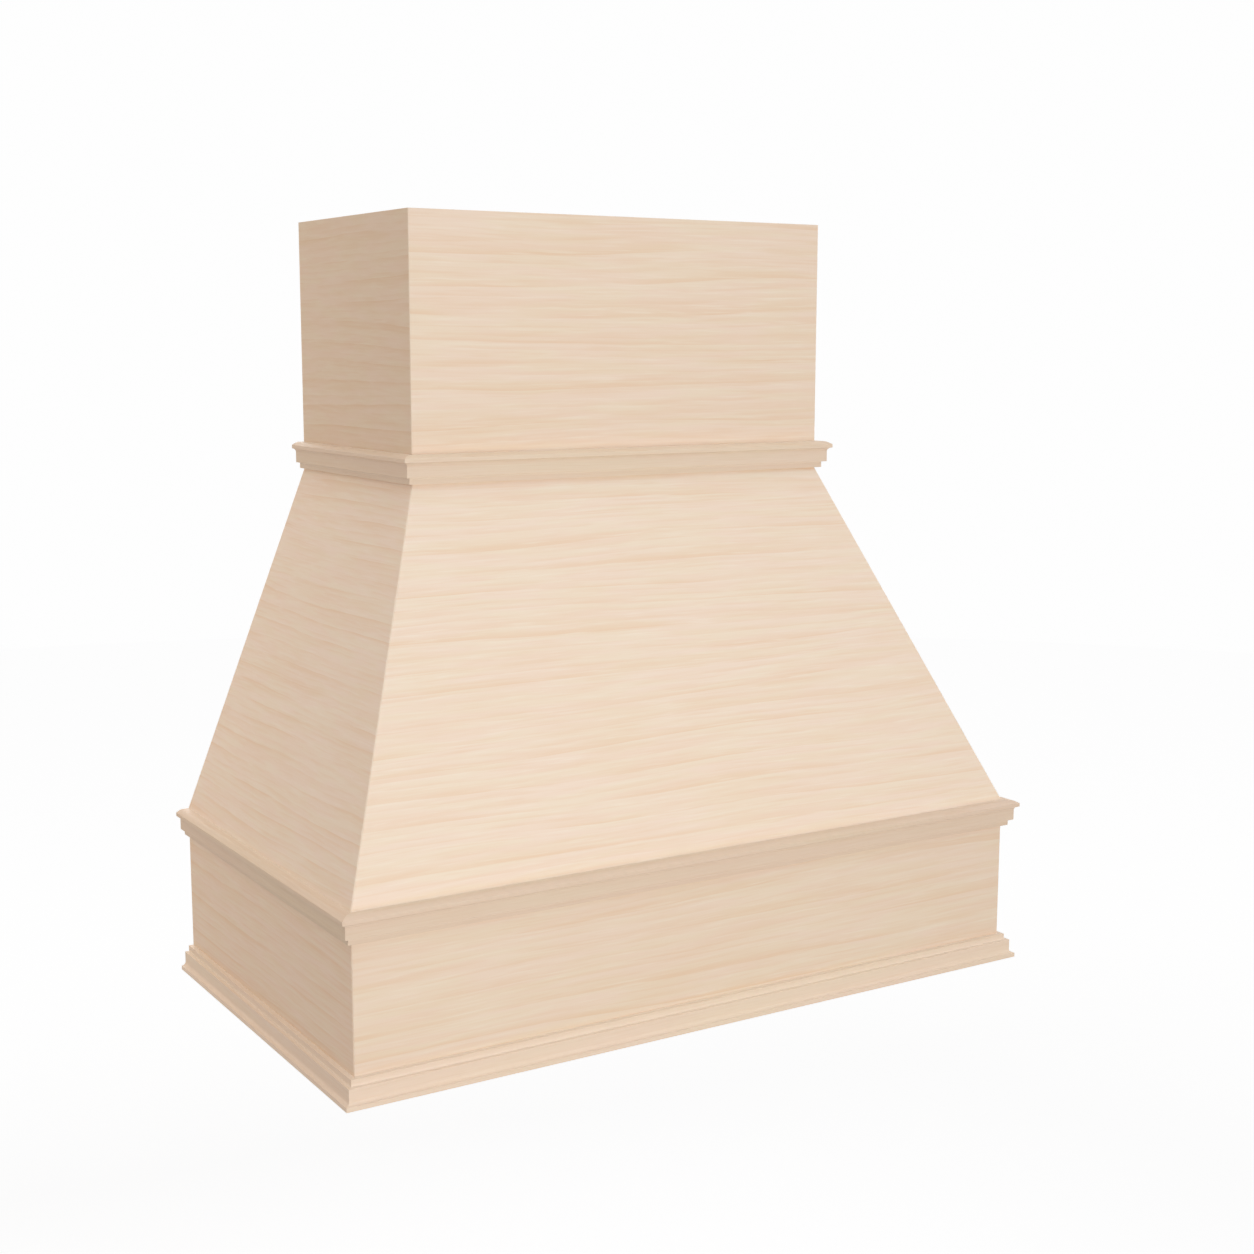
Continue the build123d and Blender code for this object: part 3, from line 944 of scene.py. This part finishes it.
@dataclass
class PanelBox:
    """Three mitred panels that wrap the front and both sides, with their splines.

    Attributes:
        name: What the sub-assembly's nodes start with.
        spline_name: What its splines start with.
        half_width: Half the width over the panels at the foot.
        depth: The depth over the panels at the foot.
        foot: The level of the foot.
        side_slope: How far a side leans in for each metre of height.
        front_slope: The same of the front.
        first_leaf: Number of the front panel's veneer leaf.
        tones_and_shading: Factors of red, green and blue that set each panel's leaf apart, and that paint
            light or shade by the side the panel faces.
        pitch: How far apart the veneer's growth lines are.
    """

    name: str
    spline_name: str
    half_width: float
    depth: float
    foot: float
    side_slope: float = 0.0
    front_slope: float = 0.0
    first_leaf: int = 0
    tones_and_shading: dict[Side, Point] = field(default_factory=dict)
    pitch: float = 0.027

    def space(self, side: Side) -> BoardSpace:
        """The axes of one panel, with the grain level."""
        leaf = self.first_leaf + WRAP.index(side)
        if side is Side.FRONT:
            place = (0.0, -self.depth, self.foot)
            return BoardSpace(place, (1, 0, 0), (0, -1, self.front_slope), leaf)
        place = (side.way * self.half_width, 0.0, self.foot)
        return BoardSpace(place, (0, -side.way, 0), (side.way, 0, self.side_slope), leaf)

    def lines(self, side: Side) -> VeneerLines:
        """The growth lines of one panel: on the sides closer, shorter and straighter."""
        if side is Side.FRONT:
            return VeneerLines(self.pitch)
        return VeneerLines(0.75 * self.pitch, wander=0.005, stretch=0.55, strength=0.9, fibre=0.6)

    def build(self) -> list[str]:
        """Dress the panels and splines, and return their names."""
        dressed = []
        for side in WRAP:
            veneer = MapleVeneer(self.space(side), self.tones_and_shading.get(side, PLAIN), lines=self.lines(side))
            dressed.append(dress(f"{self.name}_{side.value}_panel", veneer, Slot.PANEL))
        # Both splines are sawn from one plank, numbered after the panels' leaves.
        for side in (Side.LEFT, Side.RIGHT):
            node = f"{self.spline_name}_spline_{side.value}"
            space = BoardSpace(middle_of(node), (0, 0, 1), (0, -1, 0), self.first_leaf + 5)
            dressed.append(dress(node, BlockHardwood(space), Slot.BLOCK))
        return dressed


class Profile(Enum):
    """Outlines of the mouldings: projection, height and corner radius in millimetres."""

    CROWN = (
        (0.0, 0.0, 0.0),
        (6.0, 0.0, 0.45),
        (6.0, 7.3, 0.2),
        (10.9, 7.3, 0.45),
        (10.9, 24.5, 4.55),
        (15.9, 24.5, 0.4),
        (15.9, 28.9, 1.2),
        (9.6, 32.5, 11.0),
        (0.0, 32.5, 0.0),
    )
    BASE = (
        (0.0, 0.0, 0.0),
        (15.9, 0.0, 0.5),
        (15.9, 5.2, 0.35),
        (10.9, 5.2, 4.55),
        (10.9, 22.3, 0.45),
        (6.0, 22.3, 0.2),
        (6.0, 29.5, 0.45),
        (0.0, 29.5, 0.0),
    )

    @property
    def height(self) -> float:
        """The moulding's height in metres."""
        return self.value[-1][1] * MM


@dataclass
class Moulding:
    """One run of moulding: front, left and right legs, mitred at the front corners.

    Attributes:
        name: What the run's pieces start with.
        profile: The moulding's outline.
        half_width: Half the width of the box that it wraps.
        depth: The depth of that box.
        foot: The level of the moulding's lower edge.
        first_leaf: Number of the front leg's plank.
        tones_and_shading: Factors of red, green and blue that set each leg apart, and that paint shade on
            the legs by the side they face.
        arc_steps: How many runs each softened corner has.
        stations: How many sections a leg has along its length.
    """

    name: str
    profile: Profile
    half_width: float
    depth: float
    foot: float
    first_leaf: int
    tones_and_shading: dict[Side, Point] = field(default_factory=dict)
    arc_steps: int = 6
    stations: int = 13

    def section(self) -> tuple[np.ndarray, np.ndarray]:
        """The outline with softened corners as projection and height in metres, and its facing."""
        rows = np.array(self.profile.value)
        radii = np.maximum(rows[:, 2], 0.02)
        points, ways = softened(rows[:, :2].copy(), radii, self.arc_steps)
        return points * MM, ways

    def leg(self, side: Side) -> tuple[np.ndarray, np.ndarray]:
        """The points of a leg and the way that each faces.

        Each section point is carried in a straight line from one end to the other. Where an end is
        a mitre, the line is longer by the point's own projection, so all such ends lie in the
        plane that halves the corner. The front leg starts at the right mitre, the left one at its
        mitre and the right one at the wall, so that all three turn the same way.

        Args:
            side: Which leg.

        Returns:
            The points and the ways, each by station and then by place in the section.
        """
        (out, up), (face_out, face_up) = (part.T for part in self.section())
        share = np.linspace(0, 1, self.stations)[:, None]
        level = self.foot + up + 0 * share
        if side is Side.FRONT:
            points = ((1 - 2 * share) * (self.half_width + out), -self.depth - out + 0 * share, level)
            ways = (0 * out, -face_out, face_up)
        else:
            reach = share if side is Side.RIGHT else 1 - share
            points = (side.way * (self.half_width + out) + 0 * share, -reach * (self.depth + out), level)
            ways = (side.way * face_out, 0 * out, face_up)
        facing = np.broadcast_to(np.stack(ways, axis=-1), (self.stations, len(out), 3))
        return np.stack(points, axis=-1), facing

    def space(self, side: Side) -> BoardSpace:
        """The axes of one leg, with the grain along it."""
        leaf = self.first_leaf + WRAP.index(side)
        if side is Side.FRONT:
            return BoardSpace((0.0, -self.depth, self.foot), (1, 0, 0), (0, -1, 0), leaf)
        place = (side.way * self.half_width, 0.0, self.foot)
        return BoardSpace(place, (0, 1, 0), (side.way, 0, 0), leaf)

    def build_leg(self, side: Side) -> bpy.types.Object:
        """Make one leg, with the exact facing of its outline along it and flat ends."""
        points, facing = self.leg(side)
        columns = points.shape[1]
        sides, ends = closed_tube(self.stations, columns)
        piece = make_piece(f"{self.name}_{side.value}_run", points, sides + ends, True)
        # An end faces along the sum of the cross products of its points, taken in pairs round it.
        rims = points.reshape(-1, 3)[ends]
        outward = np.cross(rims, np.roll(rims, -1, axis=1)).sum(axis=1)
        outward /= np.linalg.norm(outward, axis=1, keepdims=True)
        ways = (facing.reshape(-1, 3)[np.ravel(sides)], outward.repeat(columns, axis=0))
        piece.data.normals_split_custom_set(np.concatenate(ways).tolist())
        return piece

    def build(self) -> list[str]:
        """Make the three legs in place of the CAD ones, and return their names."""
        made = []
        for side in WRAP:
            finish = SolidMaple(self.space(side), self.tones_and_shading.get(side, PLAIN))
            made.append(stand_in(self.build_leg(side), f"{self.name}_{side.value}", finish, Slot.TRIM))
        return made


@dataclass
class FlatFrame:
    """A flat frame of four half-lapped plywood rails.

    Attributes:
        name: What its nodes start with.
        first_leaf: Number of the front rail's sheet.
    """

    name: str
    first_leaf: int

    def build(self) -> list[str]:
        """Dress the rails with the grain along each, and return their names."""
        dressed = []
        for number, side in enumerate(Side):
            node = f"{self.name}_{side.value}"
            grain = (0, 1, 0) if side.way else (1, 0, 0)
            space = BoardSpace(tuple(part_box(node)[1]), grain, (0, 0, 1), self.first_leaf + number)
            dressed.append(dress(node, CorePlywood(space), Slot.FRAME))
        return dressed


@dataclass
class WallRails:
    """The rails across the open back."""

    names: tuple[str, ...] = ("upper_mounting_rail", "middle_mounting_rail", "bottom_rail")
    first_leaf: int = 40

    def build(self) -> list[str]:
        """Dress the rails with the grain level, and return their names."""
        for number, node in enumerate(self.names):
            corner = tuple(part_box(node)[1])
            space = BoardSpace(corner, (1, 0, 0), (0, 1, 0), self.first_leaf + number)
            dress(node, CorePlywood(space), Slot.FRAME)
        return list(self.names)


@dataclass
class CornerBlocks:
    """Hardwood blocks behind the mitres.

    Attributes:
        families: What the blocks' names start with.
        first_leaf: Number of the first block's plank.
    """

    families: tuple[str, ...] = ("chimney", "hip", "apron")
    first_leaf: int = 50

    def build(self) -> list[str]:
        """Dress the blocks, and return their names."""
        (front_foot, side_foot), (front_top, _) = open_edges("hip_block_left")
        hip_grain = front_top - front_foot
        hip_face = np.cross(side_foot - front_foot, hip_grain)
        dressed = []
        for number, family in enumerate(self.families):
            ways = (hip_grain, hip_face) if family == "hip" else ((0, 0, 1), (0, 1, 0))
            for side in (Side.LEFT, Side.RIGHT):
                node = f"{family}_block_{side.value}"
                leaf = self.first_leaf + number * 2 + (side is Side.RIGHT)
                grain, face = ((-side.way * x, y, z) for x, y, z in ways)
                space = BoardSpace(middle_of(node), grain, face, leaf)
                dressed.append(dress(node, BlockHardwood(space), Slot.BLOCK))
        return dressed


@dataclass
class BlockScrews:
    """Cross-slotted wood screws that pull the panels to the square corner blocks.

    They alternate between the front and the side panel, and the right corner mirrors the left.

    Attributes:
        name: The CAD node that they replace.
        block: The left block that they hold.
        count: Screws in each block.
        bite: How far a screw goes past the block.
        head_radius: Radius of the countersunk head.
        shank_radius: Radius of the shank and of the thread's crest.
        thread_pitch: Advance of the thread in a turn.
        thread_start: Where the thread starts, as a share of the length.
        groove: How deep the thread's groove is, as a share of the radius.
        tip: How long the tip is.
        arm_half_width: Half the width of an arm of the recess.
        arm_reach: How far an arm goes from the middle.
        recess_depth: How deep the recess is at most.
        columns: Points round a screw.
    """

    name: str
    block: str
    count: int
    bite: float = 12 * MM
    head_radius: float = 4 * MM
    shank_radius: float = 2 * MM
    thread_pitch: float = 1.9 * MM
    thread_start: float = 0.36
    groove: float = 0.27
    tip: float = 3.2 * MM
    arm_half_width: float = 0.55 * MM
    arm_reach: float = 2.3 * MM
    recess_depth: float = 1.5 * MM
    columns: int = 32

    def seats(self) -> tuple[np.ndarray, np.ndarray]:
        """The middle of each head and the way that each screw points, one a row."""
        low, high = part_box(self.block)
        side = high.x - low.x
        step = np.arange(self.count)
        level = low.z + (step + 0.5) * (high.z - low.z) / self.count
        even = step % 2 == 0
        x = low.x + np.where(even, side / 2, side)
        y = low.y + np.where(even, side, side / 2)
        heads = np.stack((x, y, level), axis=1)
        ways = np.stack((np.where(even, 0, -1), np.where(even, -1, 0), 0 * step), axis=1).astype(float)
        return np.concatenate((heads, heads * MIRROR)), np.concatenate((ways, ways * MIRROR))

    def surface(self, turn: np.ndarray) -> tuple[np.ndarray, np.ndarray]:
        """Radius and depth of the screw's skin, from the middle of the head to the tip.

        The head is flat with a cross-shaped recess, three times as deep as the distance to its
        nearest wall. Under it a cone goes down to the shank. The thread's ridge is a triangle wave
        of the depth over the pitch less the share of a turn, and all of it narrows to the tip.

        Args:
            turn: The angle of each column, measured from the recess.

        Returns:
            Radius and depth in metres, each by row and column.
        """
        low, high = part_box(self.block)
        length = high.x - low.x + self.bite
        ring = np.linspace(0.02, 0.92, 20)[:, None] * self.head_radius
        x, y = np.abs(ring * np.cos(turn)), np.abs(ring * np.sin(turn))
        wall = np.minimum(self.arm_half_width - np.minimum(x, y), self.arm_reach - np.maximum(x, y))
        recess = np.clip(wall * 3.0, 0, self.recess_depth)
        rim = np.array(((0.965, 0.03), (0.975, 0.09), (0.5, 2.95))) * np.array((self.head_radius, MM))
        rim_radius, rim_depth = (part[:, None] + 0 * turn for part in rim.T)
        depth = np.arange(3.4 * MM, length, 0.22 * MM)[:, None] + 0 * turn
        ridge = 1 - np.abs(2 * np.mod(depth / self.thread_pitch - turn / (2 * np.pi), 1) - 1) / 0.45
        threaded = np.clip((depth - self.thread_start * length) / (1.5 * MM), 0, 1)
        thinner = self.groove * threaded * (1 - np.clip(ridge, 0, 1)) + 0.05 * (1 - threaded)
        taper = np.clip((length - depth) / self.tip, 0.03, 1)
        radius = self.shank_radius * (1 - thinner) * taper
        radii = (ring + 0 * turn, rim_radius, radius)
        return np.concatenate(radii), np.concatenate((recess, rim_depth, depth))

    def build(self) -> list[str]:
        """Make the screws in place of the plain CAD ones, and return their name."""
        heads, ways = self.seats()
        turned = np.random.default_rng(7).uniform(0, np.pi / 2, len(heads))
        turn = np.linspace(0, 2 * np.pi, self.columns, endpoint=False)
        radius, depth = self.surface(turn)
        side = np.cross(ways, (0.0, 0.0, 1.0))
        upright = np.cross(ways, side)
        angle = turned[:, None] + turn
        spoke = np.cos(angle)[..., None] * side[:, None] + np.sin(angle)[..., None] * upright[:, None]
        points = heads[:, None, None] + depth[..., None] * ways[:, None, None]
        points = points + radius[..., None] * spoke[:, None]
        sides, ends = closed_tube(len(radius), self.columns)
        faces = joined([sides + ends] * len(heads), radius.size)
        piece = make_piece(f"{self.name}_threaded", points, faces, False)
        return [stand_in(piece, self.name, ZincSteel(), Slot.SCREW)]


@dataclass
class GlueBeads:
    """Dried glue that was squeezed out where the corner blocks meet the panels.

    Attributes:
        name: What the piece is called.
        block: The left block that they lie along.
        seed: Seed of the beads' unevenness.
        bevelled: Whether the block has one open face, which goes from panel to panel.
        inset: How far the beads stop short of the block's foot and of its top.
        width: How wide a bead is on average.
        stations: Sections along a bead.
    """

    name: str
    block: str
    seed: int
    bevelled: bool = False
    inset: tuple[float, float] = (2 * MM, 1 * MM)
    width: float = 1.7 * MM
    stations: int = 150

    def uneven(self, share: np.ndarray, source: np.random.Generator) -> np.ndarray:
        """How wide a bead is along its length, as a factor.

        The factor is a sum of long sine waves of random phase, with a few rounded drips added,
        and falls to little at both ends.

        Args:
            share: The place along the bead, from 0 to 1.
            source: Where the random numbers come from.

        Returns:
            The factor at each place.
        """
        waves = np.arange(1, 14, 2)[:, None]
        phase = source.uniform(0, 2 * np.pi, (len(waves), 1))
        ripple = (np.sin(2 * np.pi * waves * share + phase) / np.sqrt(waves)).sum(0)
        drops = source.uniform(0.05, 0.95, (4, 1))
        spread = source.uniform(0.012, 0.03, (4, 1))
        drips = (np.exp(-(((share - drops) / spread) ** 2)) * source.uniform(0.2, 0.9, (4, 1))).sum(0)
        ends = np.clip(np.minimum(share, 1 - share) / 0.02, 0.02, 1) ** 0.5
        return np.clip(0.8 + 0.13 * ripple + drips, 0.3, 2.0) * ends

    def bead(
        self, foot: np.ndarray, top: np.ndarray, panel: Point, block: Point, seed: int
    ) -> np.ndarray:
        """The points of one bead, by station and place in the section.

        The section goes from the panel to the block on a curve between a straight line and a
        quarter of an ellipse, and back through the corner. It is carried up the edge.

        Args:
            foot: Lower end of the edge.
            top: Upper end of the edge.
            panel: Direction along the panel, away from the block.
            block: Direction along the block's open face.
            seed: Seed of this bead.

        Returns:
            The points.
        """
        source = np.random.default_rng(seed)
        share = np.linspace(0, 1, self.stations)
        wide, tall = (self.uneven(share, source)[:, None] * self.width for _ in range(2))
        angle = np.linspace(0, np.pi / 2, 9)
        on_panel = np.append(np.cos(angle) ** 1.5, 0) * wide
        on_block = np.append(np.sin(angle) ** 1.5, 0) * tall * 0.8
        edge = foot + share[:, None, None] * (top - foot)
        return edge + on_panel[..., None] * np.array(panel) + on_block[..., None] * np.array(block)

    def build(self) -> list[str]:
        """Make the beads of both corners as one piece, and return its name."""
        foot, top = open_edges(self.block)
        foot[:, 2] += self.inset[0]
        top[:, 2] -= self.inset[1]
        along_panel = ((1.0, 0.0, 0.0), (0.0, 1.0, 0.0))
        along_block = along_panel[::-1]
        if self.bevelled:
            across = (foot[1] - foot[0]) / np.linalg.norm(foot[1] - foot[0])
            along_block = (across, -across)
        beads = []
        for number in range(4):
            edge, mirrored = number % 2, number > 1
            ways = (along_panel[edge], along_block[edge])
            bead = self.bead(foot[edge], top[edge], *ways, self.seed + number)
            beads.append(bead * MIRROR if mirrored else bead)
        columns = beads[0].shape[1]
        sides, ends = closed_tube(self.stations, columns)
        shell = sides + ends
        backward = [face[::-1] for face in shell]
        # The front bead and the mirrored side bead turn one way, the other two the other way.
        faces = joined([shell, backward, backward, shell], self.stations * columns)
        piece = make_piece(self.name, np.stack(beads), faces, True)
        piece.data.materials.append(DriedGlue().material(self.name))
        return [piece.name]


# ---- Studio ----


@dataclass(frozen=True)
class Lamp:
    """A square soft box that points at the cover.

    Attributes:
        name: The lamp's name.
        place: Where it stands from the middle of the cover, in metres.
        side: The length of its side.
        power: Its red, green and blue power in watts.
    """

    name: str
    place: Point
    side: float
    power: Point

    def set_up(self, middle: Vector) -> None:
        """Make the lamp, pointed at the middle of the cover."""
        strongest = max(self.power)
        light = bpy.data.lights.new(self.name, "AREA")
        light.shape = "SQUARE"
        light.size = self.side
        light.energy = strongest
        light.color = [share / strongest for share in self.power]
        lamp = bpy.data.objects.new(self.name, light)
        lamp.location = middle + Vector(self.place)
        lamp.rotation_euler = (-Vector(self.place)).to_track_quat("-Z", "Y").to_euler()
        lamp.visible_camera = False
        bpy.context.scene.collection.objects.link(lamp)


@dataclass(frozen=True)
class LightPool:
    """A soft oval of lamp light on the floor.

    Attributes:
        centre: Its middle, in X and Y.
        reach: How far it goes in X and Y before it has fallen to about a third.
        level: Red, green and blue that it adds to the floor at its middle.
    """

    centre: tuple[float, float]
    reach: tuple[float, float]
    level: Point

    def light(self, wire: Wiring, place: Socket) -> Socket:
        """The pool's light at a place: its level times e to the minus square of the reaches away."""
        away = wire.vectors("SUBTRACT", place, (*self.centre, 0.0)).outputs[0]
        reaches = wire.vectors("DIVIDE", away, (*self.reach, 1000.0)).outputs[0]
        square = wire.vectors("DOT_PRODUCT", reaches, reaches).outputs["Value"]
        fall = wire.maths("EXPONENT", wire.maths("MULTIPLY", square, -1.0))
        return wire.vectors("MULTIPLY", wire.combine(fall, fall, fall), self.level).outputs[0]


@dataclass
class Studio:
    """Floor, white surroundings, lamps and camera.

    Attributes:
        floor_level: The floor's level under the cover's foot.
        floor_reach: The round floor's radius.
        floor_colour: The floor's matt colour.
        ambient: The soft light that the surroundings give.
        background: How bright the white background is.
        far_floor: Light that the lamps and the surroundings give the floor far away.
        pools: Where the lamps add to it.
        middle: What the lamps point at.
        lamps: The lamps.
        focal_pixels: The camera's focal length, in pixels of the photograph.
        photo_pixels: The photograph's width.
        sensor: The camera's sensor width, in millimetres.
        azimuth: The camera's heading round the cover.
        elevation: How steeply it looks down.
        roll: Its turn about its own axis.
        eye: Where it stands.
    """

    floor_level: float = -1.83
    floor_reach: float = 14.0
    floor_colour: Colour = (0.8, 0.8, 0.8, 1.0)
    ambient: Colour = (0.46, 0.43, 0.41, 1.0)
    background: float = 0.99
    far_floor: Point = (0.378, 0.355, 0.338)
    pools: tuple[LightPool, ...] = (
        LightPool((0.09, -0.11), (3.37, 3.15), (0.277, 0.273, 0.263)),
        LightPool((-0.21, -1.79), (1.51, 0.78), (0.102, 0.100, 0.094)),
    )
    middle: Point = (0.0, -0.25, 0.45)
    lamps: tuple[Lamp, ...] = (
        Lamp("low_front_soft_box", (-0.5, -2.75, -0.25), 1.6, (29.0, 27.5, 25.5)),
        Lamp("high_front_soft_box", (-0.3, -2.0, 2.2), 1.6, (9.0, 12.5, 14.5)),
        Lamp("overhead_soft_box", (0.0, -0.4, 2.6), 2.2, (14.5, 12.0, 10.5)),
        Lamp("left_back_soft_box", (-1.8, 1.6, 1.8), 1.6, (11.5, 11.0, 9.4)),
        Lamp("left_soft_box", (-1.2, 0.9, 0.1), 1.0, (2.2, 1.85, 1.5)),
        Lamp("right_soft_box", (2.8, 0.6, 0.8), 1.6, (14.0, 14.0, 14.0)),
        Lamp("back_soft_box", (0.5, 2.8, 0.7), 1.6, (20.0, 20.0, 20.0)),
    )
    focal_pixels: float = 1847.24
    photo_pixels: float = 1254.0
    sensor: float = 36.0
    azimuth: float = math.radians(-31.986)
    elevation: float = math.radians(8.846)
    roll: float = math.radians(0.092)
    eye: Point = (-1.155107, -2.159813, 0.773991)

    def show_ray(self, wire: Wiring) -> Socket:
        """1 for a ray from the camera, a mirror or glass, which sees the white surroundings."""
        path = wire.add("ShaderNodeLightPath").outputs
        seen = wire.maths("MAXIMUM", path["Is Camera Ray"], path["Is Glossy Ray"])
        return wire.maths("MAXIMUM", seen, path["Is Transmission Ray"])

    def surround(self) -> None:
        """World: white to the eye, and a plain soft light on the object."""
        world = bpy.data.worlds.new("studio_surround")
        world.use_nodes = True
        wire = Wiring(world.node_tree)
        light = world.node_tree.nodes["Background"]
        light.inputs["Color"].default_value = self.ambient
        white = wire.add("ShaderNodeBackground", (1, 1, 1, 1), self.background)
        blend = (self.show_ray(wire), light.outputs[0], white.outputs[0])
        both = wire.add("ShaderNodeMixShader", *blend)
        wire.feed(world.node_tree.nodes["World Output"].inputs["Surface"], both.outputs[0])
        bpy.context.scene.world = world

    def floor_finish(self) -> bpy.types.Material:
        """The floor's material: matt and pale, with just enough glow to look white.

        What the lamps and the surroundings give the open floor is known: the far floor's level
        and the lamps' pools. The glow that the eye sees is white less that light, so the floor is
        white wherever the cover doesn't shade it.

        Returns:
            The material.
        """
        material = bpy.data.materials.new("studio_floor")
        material.use_nodes = True
        wire = Wiring(material.node_tree)
        nodes = material.node_tree.nodes
        nodes.remove(nodes["Principled BSDF"])
        matt = wire.add("ShaderNodeBsdfDiffuse", self.floor_colour)
        place = wire.add("ShaderNodeTexCoord").outputs["Object"]
        missing = tuple(self.background - part for part in self.far_floor)
        for pool in self.pools:
            missing = wire.vectors("SUBTRACT", missing, pool.light(wire, place)).outputs[0]
        glow = wire.add("ShaderNodeEmission", missing, self.show_ray(wire))
        both = wire.add("ShaderNodeAddShader", matt.outputs[0], glow.outputs[0])
        wire.feed(nodes["Material Output"].inputs["Surface"], both.outputs[0])
        return material

    def lay_floor(self) -> None:
        """Round pale floor, far under the hung cover."""
        turns = np.linspace(0, 2 * np.pi, 96, endpoint=False)
        rim = np.stack((np.cos(turns), np.sin(turns)), axis=1) * self.floor_reach
        points = np.column_stack((rim, np.full(len(rim), self.floor_level)))
        mesh = bpy.data.meshes.new("studio_floor")
        mesh.from_pydata(points, [], [list(range(len(points)))])
        mesh.materials.append(self.floor_finish())
        floor = bpy.data.objects.new("studio_floor", mesh)
        bpy.context.scene.collection.objects.link(floor)

    def place_camera(self) -> None:
        """Camera at the photograph's viewing angle.

        The camera looks along the heading and the tilt, and is then turned by the roll about its
        own axis.
        """
        across = Vector((math.cos(self.azimuth), math.sin(self.azimuth), 0.0))
        back = Vector((
            math.sin(self.azimuth) * math.cos(self.elevation),
            -math.cos(self.azimuth) * math.cos(self.elevation),
            math.sin(self.elevation),
        ))
        up = back.cross(across)
        right = math.cos(self.roll) * across + math.sin(self.roll) * up
        above = math.cos(self.roll) * up - math.sin(self.roll) * across
        lens = bpy.data.cameras.new("studio_camera")
        lens.sensor_width = self.sensor
        lens.lens = self.focal_pixels / self.photo_pixels * self.sensor
        camera = bpy.data.objects.new("studio_camera", lens)
        columns = Matrix((right, above, back)).transposed().to_4x4()
        camera.matrix_world = Matrix.Translation(self.eye) @ columns
        bpy.context.scene.collection.objects.link(camera)
        bpy.context.scene.camera = camera

    def build(self) -> None:
        """Set up the studio."""
        self.surround()
        self.lay_floor()
        for lamp in self.lamps:
            lamp.set_up(Vector(self.middle))
        self.place_camera()
        bpy.context.scene.view_settings.view_transform = "Standard"


def main() -> None:
    """Build the cover's sub-assemblies from the chimney down, then the studio."""
    logging.basicConfig(level=logging.INFO, format="%(name)s: %(message)s")
    slopes = [(wide - narrow) / (SHOULDER - WAIST) for wide, narrow in zip(APRON_PLAN, CHIMNEY_PLAN)]
    # Each board's tone is partly its own and partly painted light and shade: the left boards and the
    # mouldings darker and warmer as if in shade, and the taper's up-leaning panels lighter as if lit from
    # above.
    chimney_tones_and_shade = {Side.FRONT: (1.02, 1.03, 1.04), Side.LEFT: (0.89, 0.86, 0.825)}
    taper_tones_and_light = {
        Side.FRONT: (1.055, 1.085, 1.115),
        Side.LEFT: (1.03, 1.03, 1.04),
        Side.RIGHT: (1.04, 1.05, 1.06),
    }
    apron_tones_and_shade = {Side.FRONT: (0.98, 0.99, 0.99), Side.LEFT: (1.01, 0.975, 0.945)}
    upper_tones_and_shade = {
        Side.FRONT: (0.96, 0.95, 0.93),
        Side.LEFT: (0.87, 0.83, 0.785),
        Side.RIGHT: (0.96, 0.95, 0.94),
    }
    middle_tones_and_shade = {
        Side.FRONT: (0.905, 0.885, 0.86),
        Side.LEFT: (0.875, 0.83, 0.77),
        Side.RIGHT: (0.96, 0.95, 0.94),
    }
    base_tones_and_shade = {Side.FRONT: (0.99, 0.985, 0.97), Side.LEFT: (1.0, 0.975, 0.94)}
    chimney_foot = SHOULDER + BOARD
    middle_foot = WAIST - Profile.CROWN.height
    sub_assemblies = (
        PanelBox("chimney", "chimney", *CHIMNEY_PLAN, chimney_foot, 0.0, 0.0, 1, chimney_tones_and_shade, 0.032),
        PanelBox("taper", "hip", *APRON_PLAN, WAIST, *slopes, 11, taper_tones_and_light),
        PanelBox("apron", "apron", *APRON_PLAN, 0.0, 0.0, 0.0, 21, apron_tones_and_shade),
        Moulding("upper_trim", Profile.CROWN, *CHIMNEY_PLAN, SHOULDER, 60, upper_tones_and_shade),
        Moulding("middle_trim", Profile.CROWN, *APRON_PLAN, middle_foot, 64, middle_tones_and_shade),
        Moulding("base_trim", Profile.BASE, *APRON_PLAN, 0.0, 68, base_tones_and_shade),
        FlatFrame("shoulder_frame", 30),
        FlatFrame("waist_frame", 34),
        FlatFrame("insert_ledger", 44),
        WallRails(),
        CornerBlocks(),
        BlockScrews("chimney_block_screws", "chimney_block_left", 3),
        BlockScrews("apron_block_screws", "apron_block_left", 2),
        GlueBeads("chimney_glue_beads", "chimney_block_left", 11),
        GlueBeads("hip_glue_beads", "hip_block_left", 21, True, (0.0, 0.0), stations=220),
        GlueBeads("apron_glue_beads", "apron_block_left", 31, stations=90),
    )
    for sub_assembly in sub_assemblies:
        for name in sub_assembly.build():
            log.info("%s: %s", type(sub_assembly).__name__, name)
    Studio().build()


if __name__ == "__main__":
    main()
